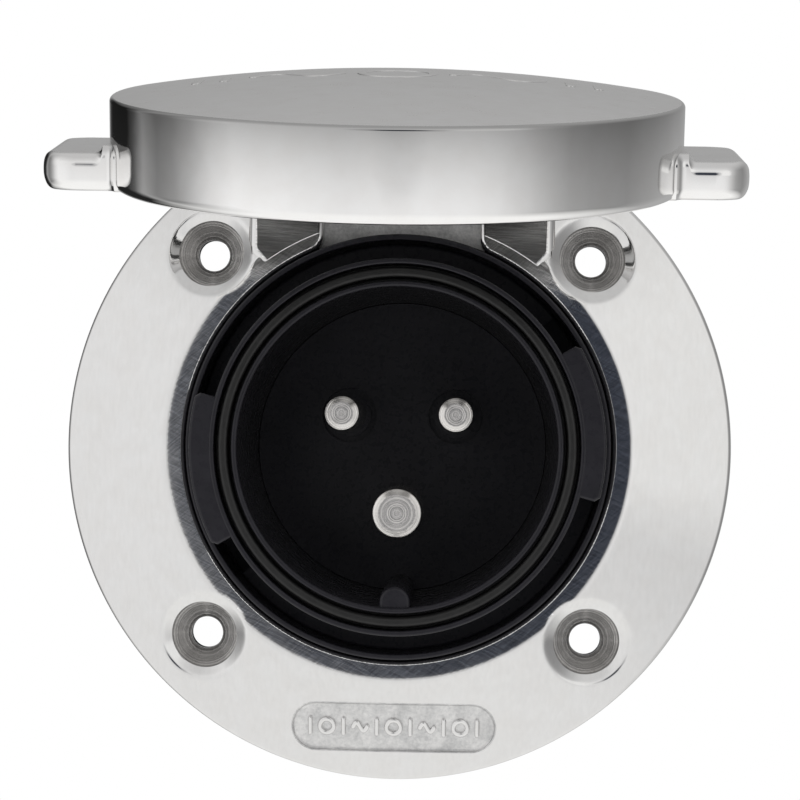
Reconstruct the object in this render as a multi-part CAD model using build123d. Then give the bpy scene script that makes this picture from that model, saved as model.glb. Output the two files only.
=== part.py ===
from build123d import *

import math
import os

# Round stainless-steel power inlet with a hinged lid, for a 16 A two-pole and earth connector.
# All sizes are in millimetres. The origin is the centre of the flange's back face.
# +Z is up, +X is to the right of a person facing the inlet, and -Y points out of the panel.
# A "depth" below is a Y value, so a smaller depth is nearer to that person.

# How far a cutting shape runs past the face that it cuts, and how far two joined shapes share space
past = 1.0
shared = 1.0

# Flange casting
flange_radius = 47.0
flange_edge_height = 3.0
ring_height = 8.0
ring_radius = 33.0
bore_radius = 29.9
flange_skin = 2.4
hollow_inner_radius = 36.4
hollow_outer_radius = 44.5
ring_edge_round = 3.0
flange_edge_round = 0.8

# Flange screw holes, for M4 countersunk screws
screw_circle_radius = 38.0
screw_angles = (45, 135, 225, 315)
screw_hole_radius = 2.25
screw_head_radius = 4.7
screw_sink_depth = -3.4
screw_boss_radius = 6.0
hinge_boss_screw_gap = 6.3
screw_boss_clearance = 0.4

# Seat in the back of the flange for the socket housing's collar
seat_radius = 35.0
seat_depth = -3.0

# Relief panel at the foot of the flange: a sunken ground with raised signs
panel_height_on_flange = -39.4
panel_length = 28.4
panel_width = 6.7
panel_root_depth = -3.6
panel_sink = 0.45
sign_height = 2.6
sign_stroke = 0.62
sign_pitch = 2.35
sign_rise = 0.4

# Hinge
hinge_depth = -5.0
hinge_height = 38.5
hinge_pin_radius = 1.5
hinge_pin_half_length = 18.0
hinge_pin_chamfer = 0.3
hinge_hole_end_gap = 0.5
hinge_clearance = 0.04
recess_half_width = 11.0
recess_low = 25.9
recess_shelf_depth = -4.2
recess_pocket_depth = -1.6
recess_pocket_low = 35.3
recess_top = 44.5
hinge_boss_half_width = 21.5
hinge_boss_low = 28.0
hinge_boss_radius = 42.8
hinge_boss_round = 1.6
knuckle_radius = 3.0
knuckle_inner = 6.2
knuckle_outer = 10.8
bush_radius = 2.25
arm_top = 41.7
arm_bend_depth = -9.0
arm_end_depth = -14.5
arm_end_high = 35.5
arm_end_low = 33.0
arm_root_high = 35.8

# Lid
lid_open_angle = 77.0
lid_radius = 35.8
lid_wall = 3.0
lid_rim_depth = -8.1
lid_side_height = 11.2
lid_dome_height = 3.0
lid_ceiling_depth = -17.1
lid_ceiling_round = 2.0
lid_face_thickness = 2.4
lid_pocket_radius = 20.8
lid_face_round = 1.5
lid_rim_round = 1.4
ear_reach = 43.6
ear_half_width = 10.0
ear_near_depth = -8.1
ear_far_depth = -12.8
ear_corner = 4.5
ear_round = 1.9
lid_gasket_inner = 21.8
lid_gasket_outer = 26.4
lid_gasket_gap = 0.1
emblem_rise = 0.35
emblem_ring_radius = 5.0
emblem_stroke = 1.1
emblem_wave_length = 12.0
emblem_gap = 1.5

# Lid spring, which carries the weight of the open lid
spring_coil_radius = 2.15
spring_wire_radius = 0.4
spring_knee_radius = 0.43
spring_half_length = 5.2
spring_full_turns = 11
spring_leg_length = 3.2
spring_hook_length = 2.4
spring_hook_clearance = 0.05
spring_foot_length = 3.4
spring_foot_lean = 15.0

# Socket housing
mouth_depth = -14.0
mouth_radius = 22.1
socket_floor_radius = 21.7
socket_floor_depth = 21.0
seal_groove_inner = 22.87
seal_groove_outer = 25.27
seal_groove_depth = -9.0
lip_radius = 26.0
channel_radius = 28.9
channel_floor_depth = 0.0
channel_pocket_depth = 4.0
channel_pocket_margin = 0.1
sleeve_radius = 29.7
sleeve_front_depth = -8.6
collar_radius = 34.8
collar_front_depth = -2.5
housing_back_ring_radius = 29.0
housing_back_ring_depth = 8.0
tube_radius = 24.0
tube_end_depth = 28.0
lug_radius = 28.75
lug_back_depth = -9.0
lug_root_radius = 25.5
lug_spans = ((-14.5, 30.5), (165.5, 209.5))
channel_pocket_spans = ((30.5, 41.0), (209.5, 220.0))
key_radius = 2.15
key_tip_radius = 19.2
key_root_radius = 22.57

# Front seal of the socket
seal_band_inner = 23.35
seal_band_outer = 24.86
seal_front_depth = -13.7
seal_foot_depth = -10.4
seal_side_gap = 0.05

# Small screws
housing_screw_circle = 32.2
housing_screw_angles = (60, 120, 240, 300)
housing_screw_radius = 1.25
housing_screw_head_radius = 2.35
housing_screw_tip_depth = -6.2
housing_screw_back_depth = -0.1
housing_screw_head_height = 1.05
housing_screw_clearance = 0.15
cover_screw_circle = 27.2
cover_screw_angles = (45, 135, 225, 315)
cover_screw_radius = 1.5
cover_screw_head_radius = 2.6
cover_screw_tip_depth = 2.6
cover_screw_head_height = 2.2
cover_screw_clearance = 0.15
carrier_screw_circle = 22.85
carrier_screw_angles = (0, 120, 240)
carrier_screw_radius = 0.8
carrier_screw_head_radius = 1.1
carrier_screw_head_height = 1.2
carrier_screw_clearance = 0.1
carrier_screw_length = 7.5
thread_gap = 0.02
screw_end_gap = 0.5
slot_reach_share = 0.7
slot_arm_share = 0.22
slot_depth_share = 0.6
head_round_share = 0.4

# Contacts: pins on a circle, the earth pin at the foot
pin_circle_radius = 9.25
live_angle = 150
neutral_angle = 30
earth_angle = 270
power_pin_radius = 2.5
earth_pin_radius = 3.5
pin_tip_depth = -7.0
earth_pin_tip_depth = -8.5
pin_chamfer = 0.75
pin_shoulder = 0.3
pin_nut_margin = 0.8
pin_nut_length = 1.6
pin_tail_radius = 2.0
pin_tail_depth = 39.0
pin_gap = 0.05
carrier_flange_depth = 30.0
carrier_collar_radius = 3.2
carrier_moat_radius = 4.1
carrier_moat_depth = 1.2
ejector_mark_radius = 2.4
ejector_mark_circle = 17.2
ejector_mark_angles = (60, 150, 240, 330)
ejector_mark_depth = 0.15
carrier_clearance = 0.08

# Terminals
clamp_half_width = 4.0
clamp_front_depth = 32.0
clamp_back_depth = 46.0
clamp_screw_radius = 1.5
clamp_screw_depths = (35.5, 42.0)
clamp_chamfer = 0.8
clamp_screw_head_radius = 2.4
clamp_screw_head_front = 0.3
clamp_screw_head_reach = 2.4
clamp_slot_depth = 0.9
clamp_slot_half_width = 0.35

# Rear cover and cable gland
cover_radius = 31.5
cover_wall = 2.2
cover_front_depth = 0.8
cover_back_depth = 57.0
cover_back_wall = 3.0
cover_back_round = 3.0
cover_pillar_radius = 3.9
cover_pillar_gap = 0.2
cover_well_radius = 2.9
cover_ear_front_depth = 8.4
cover_ear_back_depth = 12.4
gland_pad_radius = 14.5
gland_pad_depth = 59.0
gland_thread_radius = 9.9
gland_bore_radius = 6.6
gland_hex_width = 24.0
gland_washer_thickness = 1.5
gland_hex_length = 6.0
gland_neck_radius = 9.4
gland_neck_length = 9.0
gland_corner_trim = 1.0
gland_cone_length = 5.0
gland_cone_widening = 1.9
gland_gap = 0.1
gland_thread_past_locknut = 1.5
gland_seal_bore_radius = 5.0
gland_seal_length = 6.5
gland_seal_cone_length = 4.5
gland_seal_radius = 8.3
gland_nut_gap = 0.8
gland_nut_length = 15.0
gland_nut_grip_length = 8.0
gland_nut_dome_radius = 11.4
gland_nut_dome_round = 4.0
gland_nut_mouth_radius = 6.8
gland_nut_inner_gap = 2.3
locknut_length = 4.5

# Flange gasket
gasket_thickness = 1.5
gasket_radius = 46.4
gasket_inner_radius = 35.3

# Gaps around the small gaskets
housing_gasket_inner_gap = 0.3
housing_gasket_outer_gap = 0.2
housing_gasket_boss_gap = 0.5
housing_gasket_screw_gap = 0.2
cover_seal_inner_gap = 0.2
cover_seal_outer_gap = 0.1


def turned(outline):
    """Solid turned about the Y axis from a closed outline of (radius, depth) corners."""
    return revolve(make_face(Polyline(*outline, close=True)), Axis.Y)


def rod(radius, front, back, x=0.0, z=0.0):
    """Round bar along Y between two depths, centred on (x, z)."""
    return Pos(x, (front + back) / 2, z) * Rot(90, 0, 0) * Cylinder(radius, back - front)


def cone(front_radius, back_radius, front, back, x=0.0, z=0.0):
    """Round taper along Y between two depths, centred on (x, z)."""
    return Pos(x, (front + back) / 2, z) * Rot(90, 0, 0) * Cone(back_radius, front_radius, back - front)


def ring(inner, outer, front, back):
    """Flat washer about the Y axis between two depths."""
    return rod(outer, front, back) - rod(inner, front - past, back + past)


def cross_rod(radius, left, right, y=hinge_depth, z=hinge_height):
    """Round bar along X between two sides, by default on the hinge axis."""
    return Pos((left + right) / 2, y, z) * Rot(0, 90, 0) * Cylinder(radius, right - left)


def block(low, high):
    """Box between its low and high corners."""
    middle = [(a + b) / 2 for a, b in zip(low, high)]
    size = [b - a for a, b in zip(low, high)]
    return Pos(*middle) * Box(*size)


def hexagon(across_flats, front, back):
    """Hexagonal bar along Y between two depths."""
    section = RegularPolygon(across_flats / 2, 6, major_radius=False)
    return Pos(0, back, 0) * Rot(90, 0, 0) * extrude(section, back - front)


def on_circle(radius, angle):
    """(x, z) of a point on a circle about the Y axis, with angles from +X towards +Z."""
    return radius * math.cos(math.radians(angle)), radius * math.sin(math.radians(angle))


def sector(outline, start, end):
    """Part of a turned solid between two angles, measured from +X towards +Z."""
    face = make_face(Polyline(*outline, close=True))
    return Rot(0, -end, 0) * revolve(face, Axis.Y, end - start)


def round_circles(solid, radius, depth, amount):
    """Rounds the circular edges of one radius at one depth."""
    match = 0.01
    edges = [
        edge
        for edge in solid.edges().filter_by(GeomType.CIRCLE)
        if abs(edge.radius - radius) < match and abs(edge.center().Y - depth) < match
    ]
    return fillet(edges, amount)


def facing_front(sketch, front, back):
    """Extrudes a flat drawing, whose Y is the object's Z, between two depths."""
    return Pos(0, back, 0) * Rot(90, 0, 0) * extrude(sketch, back - front)


def opened(closed_shape):
    """Turns a piece of the closed lid about the hinge axis to the resting open position."""
    hinge = Pos(0, hinge_depth, hinge_height)
    return hinge * Rot(-lid_open_angle, 0, 0) * hinge.inverse() * closed_shape


def slope_depth(radius):
    """Depth of the flange's sloping face at a radius outside the flat ring."""
    share = (radius - ring_radius) / (flange_radius - ring_radius)
    return -ring_height + share * (ring_height - flange_edge_height)


def ring_sign(outer_radius, stroke):
    """Round sign: a plain ring."""
    return Circle(outer_radius) - Circle(outer_radius - stroke)


def wave_sign(length, height, stroke):
    """One period of an alternating-current wave, drawn as two half rings."""
    bend = length / 4
    half_ring = Circle(bend + stroke / 2) - Circle(bend - stroke / 2)
    upper = Pos(-bend, 0) * (half_ring & Pos(0, height / 2) * Rectangle(length, height))
    lower = Pos(bend, 0) * (half_ring & Pos(0, -height / 2) * Rectangle(length, height))
    return upper + lower


def bar_sign(height, stroke):
    """Upright bar with round ends."""
    return SlotOverall(height, stroke, rotation=90)


def panel_signs():
    """The row of raised signs on the relief panel."""
    round_one = ring_sign(sign_height / 2, sign_stroke)
    bar = bar_sign(sign_height, sign_stroke)
    wave = wave_sign(sign_height, sign_height, sign_stroke)
    order = (bar, round_one, bar, wave, bar, round_one, bar, wave, bar, round_one, bar)
    first = -(len(order) - 1) / 2
    return [Pos((first + i) * sign_pitch, panel_height_on_flange) * s for i, s in enumerate(order)]


def make_flange_face(lowered=0.0):
    """Body of the flange before its seat, recesses and holes, with its face lowered by a distance."""
    outline = [
        (bore_radius, -ring_height + lowered),
        (ring_radius, -ring_height + lowered),
        (flange_radius, -flange_edge_height + lowered),
        (flange_radius, 0),
        (bore_radius, 0),
    ]
    return turned(outline)


def make_flange():
    body = make_flange_face()
    body = round_circles(body, ring_radius, -ring_height, ring_edge_round)
    body = round_circles(body, flange_radius, -flange_edge_height, flange_edge_round)
    full_body = body
    body -= turned(
        [
            (hollow_inner_radius, past),
            (hollow_inner_radius, slope_depth(hollow_inner_radius) + flange_skin),
            (hollow_outer_radius, slope_depth(hollow_outer_radius) + flange_skin),
            (hollow_outer_radius, past),
        ]
    )
    for angle in screw_angles:
        x, z = on_circle(screw_circle_radius, angle)
        body += rod(screw_boss_radius, -ring_height, 0, x, z) & full_body
        body -= rod(screw_head_radius, -ring_height - past, screw_sink_depth, x, z)
        body -= rod(screw_hole_radius, -ring_height, past, x, z)
        body -= cone(
            screw_head_radius,
            screw_hole_radius,
            screw_sink_depth,
            screw_sink_depth + screw_head_radius - screw_hole_radius,
            x,
            z,
        )
    boss = block(
        (-hinge_boss_half_width, -ring_height, hinge_boss_low),
        (hinge_boss_half_width, 0, hinge_boss_radius),
    )
    boss &= rod(hinge_boss_radius, -ring_height, 0)
    boss = fillet(boss.faces().sort_by(Axis.Y)[0].edges().sort_by(Axis.Z)[1:], hinge_boss_round)
    for angle in screw_angles[:2]:
        x, z = on_circle(screw_circle_radius, angle)
        boss -= rod(hinge_boss_screw_gap, -ring_height - past, past, x, z)
    body += boss - rod(hollow_inner_radius, -ring_height - past, past)
    body -= rod(bore_radius, -ring_height - past, past)
    seat = rod(seat_radius, seat_depth, past)
    for angle in screw_angles:
        x, z = on_circle(screw_circle_radius, angle)
        seat -= rod(screw_boss_radius, seat_depth - past, 2 * past, x, z)
    body -= seat
    body -= block(
        (-recess_half_width, -ring_height - past, recess_low),
        (recess_half_width, recess_shelf_depth, recess_top),
    )
    body -= block(
        (-recess_half_width, -ring_height - past, recess_pocket_low),
        (recess_half_width, recess_pocket_depth, recess_top),
    )
    body -= cross_rod(
        hinge_pin_radius + hinge_clearance,
        -hinge_pin_half_length - hinge_hole_end_gap,
        hinge_boss_half_width + past,
    )
    for angle in housing_screw_angles:
        x, z = on_circle(housing_screw_circle, angle)
        body -= rod(
            housing_screw_radius + thread_gap,
            housing_screw_tip_depth - screw_end_gap,
            seat_depth + past,
            x,
            z,
        )
    panel = Pos(0, panel_height_on_flange) * SlotOverall(panel_length, panel_width)
    panel_space = facing_front(panel, -ring_height - past, panel_root_depth)
    panel_ground = make_flange_face(panel_sink) & panel_space
    signs_top = make_flange_face(panel_sink - sign_rise)
    body -= panel_space
    body += panel_ground
    for sign in panel_signs():
        body += signs_top & facing_front(sign, -ring_height - past, panel_root_depth)
    return body


def make_flange_gasket():
    sheet = ring(gasket_inner_radius, gasket_radius, 0, gasket_thickness)
    for angle in screw_angles:
        x, z = on_circle(screw_circle_radius, angle)
        sheet -= rod(screw_hole_radius, -past, gasket_thickness + past, x, z)
    return sheet


def lid_face_depths(rise=0.0):
    """Depths of the domed lid face at its edge and at its middle, raised by a distance."""
    edge_depth = lid_rim_depth - lid_side_height - rise
    return edge_depth, edge_depth - lid_dome_height


def make_lid_shell(rise=0.0):
    """Outside of the closed lid as one solid, with its domed face raised by a distance."""
    face_depth, top_depth = lid_face_depths(rise)
    diagonal = lid_face_round * math.sqrt(0.5)
    flat_radius = lid_radius - lid_face_round
    wall_end = (lid_radius, face_depth + lid_face_round)
    profile = Line((0, lid_rim_depth), (lid_radius, lid_rim_depth))
    profile += Line((lid_radius, lid_rim_depth), wall_end)
    profile += ThreePointArc(
        wall_end,
        (flat_radius + diagonal, face_depth + lid_face_round - diagonal),
        (flat_radius, face_depth),
    )
    sag = lid_dome_height
    bulge = (flat_radius**2 + sag**2) / (2 * sag)
    middle_radius = flat_radius / 2
    middle_depth = top_depth + bulge - math.sqrt(bulge**2 - middle_radius**2)
    profile += ThreePointArc(
        (flat_radius, face_depth), (middle_radius, middle_depth), (0, top_depth)
    )
    profile += Line((0, top_depth), (0, lid_rim_depth))
    return revolve(make_face(profile), Axis.Y)


def hinge_arm_outline():
    """Closed outline of a lid hinge arm in (depth, height), joining the knuckle to the lid wall."""
    return [
        (hinge_depth, arm_top),
        (arm_bend_depth, arm_top),
        (arm_end_depth, arm_end_high),
        (arm_end_depth, arm_end_low),
        (lid_rim_depth, arm_end_low),
        (hinge_depth, arm_root_high),
    ]


def make_lid():
    shell = make_lid_shell()
    shell = round_circles(shell, lid_radius, lid_rim_depth, lid_rim_round)
    inner_radius = lid_radius - lid_wall
    hollow = rod(inner_radius, lid_ceiling_depth, lid_rim_depth + past)
    hollow = round_circles(hollow, inner_radius, lid_ceiling_depth, lid_ceiling_round)
    top_depth = lid_face_depths()[1]
    pocket = rod(lid_pocket_radius, top_depth, lid_ceiling_depth + shared)
    hollow += make_lid_shell(-lid_face_thickness) & pocket
    ears = RectangleRounded(2 * ear_reach, 2 * ear_half_width, ear_corner)
    ear_bar = facing_front(ears, ear_far_depth, ear_near_depth)
    ear_bar = fillet(ear_bar.faces().filter_by(Axis.Y).edges(), ear_round)
    lid = shell + ear_bar
    for side in (-1, 1):
        low, high = sorted((side * knuckle_inner, side * knuckle_outer))
        section = make_face(Polyline(*hinge_arm_outline(), close=True))
        arm = Rot(0, 90, 0) * Rot(0, 0, 90) * extrude(section, high - low)
        lid += Pos(low, 0, 0) * arm + cross_rod(knuckle_radius, low, high)
    lid -= hollow
    lid -= cross_rod(bush_radius, -knuckle_outer - past, knuckle_outer + past)
    lid -= cross_rod(
        spring_wire_radius + spring_hook_clearance,
        -spring_half_length - spring_hook_length - spring_hook_clearance,
        -knuckle_inner + past,
        hinge_depth - spring_leg_length,
        hinge_height + spring_coil_radius,
    )
    emblem = ring_sign(emblem_ring_radius, emblem_stroke)
    wave = wave_sign(emblem_wave_length, emblem_wave_length, emblem_stroke)
    for side in (-1, 1):
        emblem += Pos(side * (emblem_ring_radius + emblem_wave_length / 2 + emblem_gap), 0) * wave
    emblem_space = facing_front(emblem, top_depth - past, lid_face_depths()[0] - shared)
    lid += make_lid_shell(emblem_rise) & emblem_space
    return opened(lid)


def make_lid_gasket():
    return opened(
        ring(lid_gasket_inner, lid_gasket_outer, lid_ceiling_depth, mouth_depth - lid_gasket_gap)
    )


def make_hinge_pin():
    pin = cross_rod(hinge_pin_radius, -hinge_pin_half_length, hinge_pin_half_length)
    return chamfer(pin.edges().filter_by(GeomType.CIRCLE), hinge_pin_chamfer)


def make_hinge_bushes():
    bushes = []
    for side in (-1, 1):
        low, high = sorted((side * knuckle_inner, side * knuckle_outer))
        sleeve = cross_rod(bush_radius, low, high)
        bushes.append(sleeve - cross_rod(hinge_pin_radius + hinge_clearance, low - past, high + past))
    return bushes


def make_lid_spring():
    """Torsion spring on the hinge pin, hooked into the lid's left arm and footed on the flange's pocket.

    It is wound so that closing the lid adds turns, and the wound spring carries the open lid.
    """
    turns = spring_full_turns + (90 - spring_foot_lean - lid_open_angle) / 360
    length = 2 * spring_half_length
    path = Helix(length / turns, length, spring_coil_radius, lefthand=True)
    wire = Plane(origin=path @ 0, z_dir=path % 0) * Circle(spring_wire_radius)
    coil = Pos(-spring_half_length, hinge_depth, hinge_height) * Rot(180, 0, 0) * Rot(0, 90, 0)
    coil = coil * sweep(wire, path)
    top = hinge_height + spring_coil_radius
    hook_depth = hinge_depth - spring_leg_length
    lid_leg = rod(spring_wire_radius, hook_depth, hinge_depth, -spring_half_length, top)
    lid_leg += Pos(-spring_half_length, hook_depth, top) * Sphere(spring_knee_radius)
    lid_leg += Pos(-spring_half_length, hinge_depth, top) * Sphere(spring_knee_radius)
    lid_leg += cross_rod(
        spring_wire_radius, -spring_half_length - spring_hook_length, -spring_half_length, hook_depth, top
    )
    flange_leg = Pos(0, 0, -spring_foot_length / 2) * Cylinder(spring_wire_radius, spring_foot_length)
    flange_leg += Sphere(spring_knee_radius)
    flange_leg = Rot(spring_foot_lean, 0, 0) * Pos(0, spring_coil_radius, 0) * flange_leg
    return opened(coil + lid_leg) + Pos(spring_half_length, hinge_depth, hinge_height) * flange_leg


def make_socket_housing():
    outline = [
        (mouth_radius, mouth_depth),
        (seal_groove_inner, mouth_depth),
        (seal_groove_inner, seal_groove_depth),
        (seal_groove_outer, seal_groove_depth),
        (seal_groove_outer, mouth_depth),
        (lip_radius, mouth_depth),
        (lip_radius, channel_floor_depth),
        (channel_radius, channel_floor_depth),
        (channel_radius, sleeve_front_depth),
        (sleeve_radius, sleeve_front_depth),
        (sleeve_radius, collar_front_depth),
        (collar_radius, collar_front_depth),
        (collar_radius, 0),
        (housing_back_ring_radius, 0),
        (housing_back_ring_radius, housing_back_ring_depth),
        (tube_radius, housing_back_ring_depth),
        (tube_radius, tube_end_depth),
        (socket_floor_radius, tube_end_depth),
        (socket_floor_radius, socket_floor_depth),
    ]
    body = turned(outline)
    lug_outline = [
        (lug_root_radius, mouth_depth),
        (lug_radius, mouth_depth),
        (lug_radius, lug_back_depth),
        (lug_root_radius, lug_back_depth),
    ]
    for start, end in lug_spans:
        body += sector(lug_outline, start, end)
    pocket_outline = [
        (lip_radius + channel_pocket_margin, channel_floor_depth - past),
        (channel_radius - channel_pocket_margin, channel_floor_depth - past),
        (channel_radius - channel_pocket_margin, channel_pocket_depth),
        (lip_radius + channel_pocket_margin, channel_pocket_depth),
    ]
    for start, end in channel_pocket_spans:
        body -= sector(pocket_outline, start, end)
    key_centre = -(key_tip_radius + key_radius)
    key = rod(key_radius, mouth_depth, socket_floor_depth, 0, key_centre)
    key += block(
        (-key_radius, mouth_depth, -seal_groove_inner),
        (key_radius, socket_floor_depth, key_centre),
    )
    body += key & rod(key_root_radius, mouth_depth, socket_floor_depth)
    for angle in screw_angles:
        x, z = on_circle(screw_circle_radius, angle)
        body -= rod(screw_boss_radius + screw_boss_clearance, collar_front_depth - past, past, x, z)
    for angle in housing_screw_angles:
        x, z = on_circle(housing_screw_circle, angle)
        hole_radius = housing_screw_radius + housing_screw_clearance
        seat_radius_behind = housing_screw_head_radius + housing_screw_clearance
        seat_front = housing_screw_back_depth - housing_screw_head_height
        body -= rod(hole_radius, collar_front_depth - past, past, x, z)
        body -= cone(hole_radius, seat_radius_behind, seat_front, 0, x, z)
    for angle in cover_screw_angles:
        x, z = on_circle(cover_screw_circle, angle)
        body -= rod(
            cover_pillar_radius + cover_pillar_gap, housing_back_ring_depth, tube_end_depth + past, x, z
        )
        body -= rod(
            cover_screw_radius + thread_gap,
            cover_screw_tip_depth - screw_end_gap,
            housing_back_ring_depth + past,
            x,
            z,
        )
    for angle in carrier_screw_angles:
        x, z = on_circle(carrier_screw_circle, angle)
        body -= rod(
            carrier_screw_radius + thread_gap,
            carrier_flange_depth - carrier_screw_length - screw_end_gap,
            tube_end_depth + past,
            x,
            z,
        )
    return body


def make_socket_seal():
    front_round = (seal_band_outer - seal_band_inner) / 2
    middle = (seal_band_inner + seal_band_outer) / 2
    shoulder = seal_front_depth + front_round
    foot_inner = seal_groove_inner + seal_side_gap
    foot_outer = seal_groove_outer - seal_side_gap
    profile = Polyline(
        (seal_band_inner, shoulder),
        (seal_band_inner, seal_foot_depth),
        (foot_inner, seal_foot_depth),
        (foot_inner, seal_groove_depth),
        (foot_outer, seal_groove_depth),
        (foot_outer, seal_foot_depth),
        (seal_band_outer, seal_foot_depth),
        (seal_band_outer, shoulder),
    )
    profile += ThreePointArc(
        (seal_band_outer, shoulder), (middle, seal_front_depth), (seal_band_inner, shoulder)
    )
    return revolve(make_face(profile), Axis.Y)


def make_housing_gasket():
    sheet = ring(
        sleeve_radius + housing_gasket_inner_gap,
        collar_radius - housing_gasket_outer_gap,
        seat_depth,
        collar_front_depth,
    )
    for angle in screw_angles:
        x, z = on_circle(screw_circle_radius, angle)
        sheet -= rod(screw_boss_radius + housing_gasket_boss_gap, seat_depth - past, past, x, z)
    for angle in housing_screw_angles:
        x, z = on_circle(housing_screw_circle, angle)
        sheet -= rod(housing_screw_radius + housing_gasket_screw_gap, seat_depth - past, past, x, z)
    return sheet


def cross_slot(radius, depth, x, z):
    """Cross-shaped driver slot sunk from the back of a screw head that ends at a depth."""
    arm = slot_arm_share * radius
    reach = slot_reach_share * radius
    floor = depth - slot_depth_share * radius
    slot = block((x - reach, floor, z - arm), (x + reach, depth + past, z + arm))
    return slot + block((x - arm, floor, z - reach), (x + arm, depth + past, z + reach))


def make_housing_screws():
    screws = []
    for angle in housing_screw_angles:
        x, z = on_circle(housing_screw_circle, angle)
        back = housing_screw_back_depth
        screw = rod(housing_screw_radius, housing_screw_tip_depth, back, x, z)
        screw += cone(
            housing_screw_radius,
            housing_screw_head_radius,
            back - housing_screw_head_height,
            back,
            x,
            z,
        )
        screws.append(screw - cross_slot(housing_screw_head_radius, back, x, z))
    return screws


def pan_screw(circle, angle, radius, head_radius, tip, seat, head_height):
    """Pan-head screw driven from behind, its tip in front and its head on a seat."""
    x, z = on_circle(circle, angle)
    screw = rod(radius, tip, seat + head_height / 2, x, z)
    head = rod(head_radius, seat, seat + head_height, x, z)
    head = fillet(head.faces().sort_by(Axis.Y)[-1].edges(), head_round_share * head_height)
    return screw + head - cross_slot(head_radius, seat + head_height, x, z)


def make_carrier_screws():
    return [
        pan_screw(
            carrier_screw_circle,
            angle,
            carrier_screw_radius,
            carrier_screw_head_radius,
            carrier_flange_depth - carrier_screw_length,
            carrier_flange_depth,
            carrier_screw_head_height,
        )
        for angle in carrier_screw_angles
    ]


def make_rear_cover_screws():
    return [
        pan_screw(
            cover_screw_circle,
            angle,
            cover_screw_radius,
            cover_screw_head_radius,
            cover_screw_tip_depth,
            cover_ear_back_depth,
            cover_screw_head_height,
        )
        for angle in cover_screw_angles
    ]


def make_contact_carrier():
    body = rod(socket_floor_radius - carrier_clearance, socket_floor_depth, carrier_flange_depth)
    body += rod(tube_radius, tube_end_depth, carrier_flange_depth)
    for angle in cover_screw_angles:
        x, z = on_circle(cover_screw_circle, angle)
        pillar_space = cover_pillar_radius + cover_pillar_gap
        body -= rod(pillar_space, tube_end_depth - past, carrier_flange_depth + past, x, z)
    for angle in carrier_screw_angles:
        x, z = on_circle(carrier_screw_circle, angle)
        screw_hole = carrier_screw_radius + carrier_screw_clearance
        body -= rod(screw_hole, tube_end_depth - past, carrier_flange_depth + past, x, z)
    for angle in (live_angle, neutral_angle):
        x, z = on_circle(pin_circle_radius, angle)
        moat_floor = socket_floor_depth + carrier_moat_depth
        moat = rod(carrier_moat_radius, socket_floor_depth - past, moat_floor, x, z)
        body -= moat - rod(carrier_collar_radius, socket_floor_depth - 2 * past, moat_floor + past, x, z)
        shank_hole = power_pin_radius - pin_shoulder + pin_gap
        body -= rod(shank_hole, socket_floor_depth - past, carrier_flange_depth + past, x, z)
    x, z = on_circle(pin_circle_radius, earth_angle)
    shank_hole = earth_pin_radius - pin_shoulder + pin_gap
    body -= rod(shank_hole, socket_floor_depth - past, carrier_flange_depth + past, x, z)
    for angle in ejector_mark_angles:
        x, z = on_circle(ejector_mark_circle, angle)
        mark_floor = socket_floor_depth + ejector_mark_depth
        body -= rod(ejector_mark_radius, socket_floor_depth - past, mark_floor, x, z)
    return body


def make_pin(radius, tip, angle):
    """Contact pin with a chamfered nose, a shank in the carrier, a collar behind it and a thin tail."""
    x, z = on_circle(pin_circle_radius, angle)
    pin = rod(radius, tip, socket_floor_depth, x, z)
    pin = chamfer(pin.faces().sort_by(Axis.Y)[0].edges(), pin_chamfer)
    pin += rod(radius - pin_shoulder, socket_floor_depth - shared, carrier_flange_depth, x, z)
    pin += rod(radius + pin_nut_margin, carrier_flange_depth, carrier_flange_depth + pin_nut_length, x, z)
    pin += rod(pin_tail_radius, carrier_flange_depth, pin_tail_depth, x, z)
    return pin


def outward(angle, shape):
    """Turns a shape drawn towards +X so that it points outwards at an angle."""
    return Rot(0, -angle, 0) * shape


def make_terminal_clamps():
    clamps = []
    for angle in (live_angle, neutral_angle, earth_angle):
        body = block(
            (pin_circle_radius - clamp_half_width, clamp_front_depth, -clamp_half_width),
            (pin_circle_radius + clamp_half_width, clamp_back_depth, clamp_half_width),
        )
        body = chamfer(body.edges().filter_by(Axis.Y), clamp_chamfer)
        front, back = clamp_front_depth - past, clamp_back_depth + past
        body -= rod(pin_tail_radius + pin_gap, front, back, pin_circle_radius, 0)
        face = pin_circle_radius + clamp_half_width
        for depth in clamp_screw_depths:
            screw_hole = clamp_screw_radius + thread_gap
            body -= cross_rod(screw_hole, pin_circle_radius, face + past, depth, 0)
        clamps.append(outward(angle, body))
    return clamps


def make_terminal_screws():
    screws = []
    face = pin_circle_radius + clamp_half_width
    inner = pin_circle_radius + pin_tail_radius + 2 * pin_gap
    for angle in (live_angle, neutral_angle, earth_angle):
        for depth in clamp_screw_depths:
            screw = cross_rod(clamp_screw_radius, inner, face + shared, depth, 0)
            head_front, head_back = face + clamp_screw_head_front, face + clamp_screw_head_reach
            screw += cross_rod(clamp_screw_head_radius, head_front, head_back, depth, 0)
            half = clamp_slot_half_width
            slot_low = (head_back - clamp_slot_depth, depth - half, -clamp_screw_head_radius)
            slot_high = (head_back + past, depth + half, clamp_screw_head_radius)
            screws.append(outward(angle, screw - block(slot_low, slot_high)))
    return screws


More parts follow.
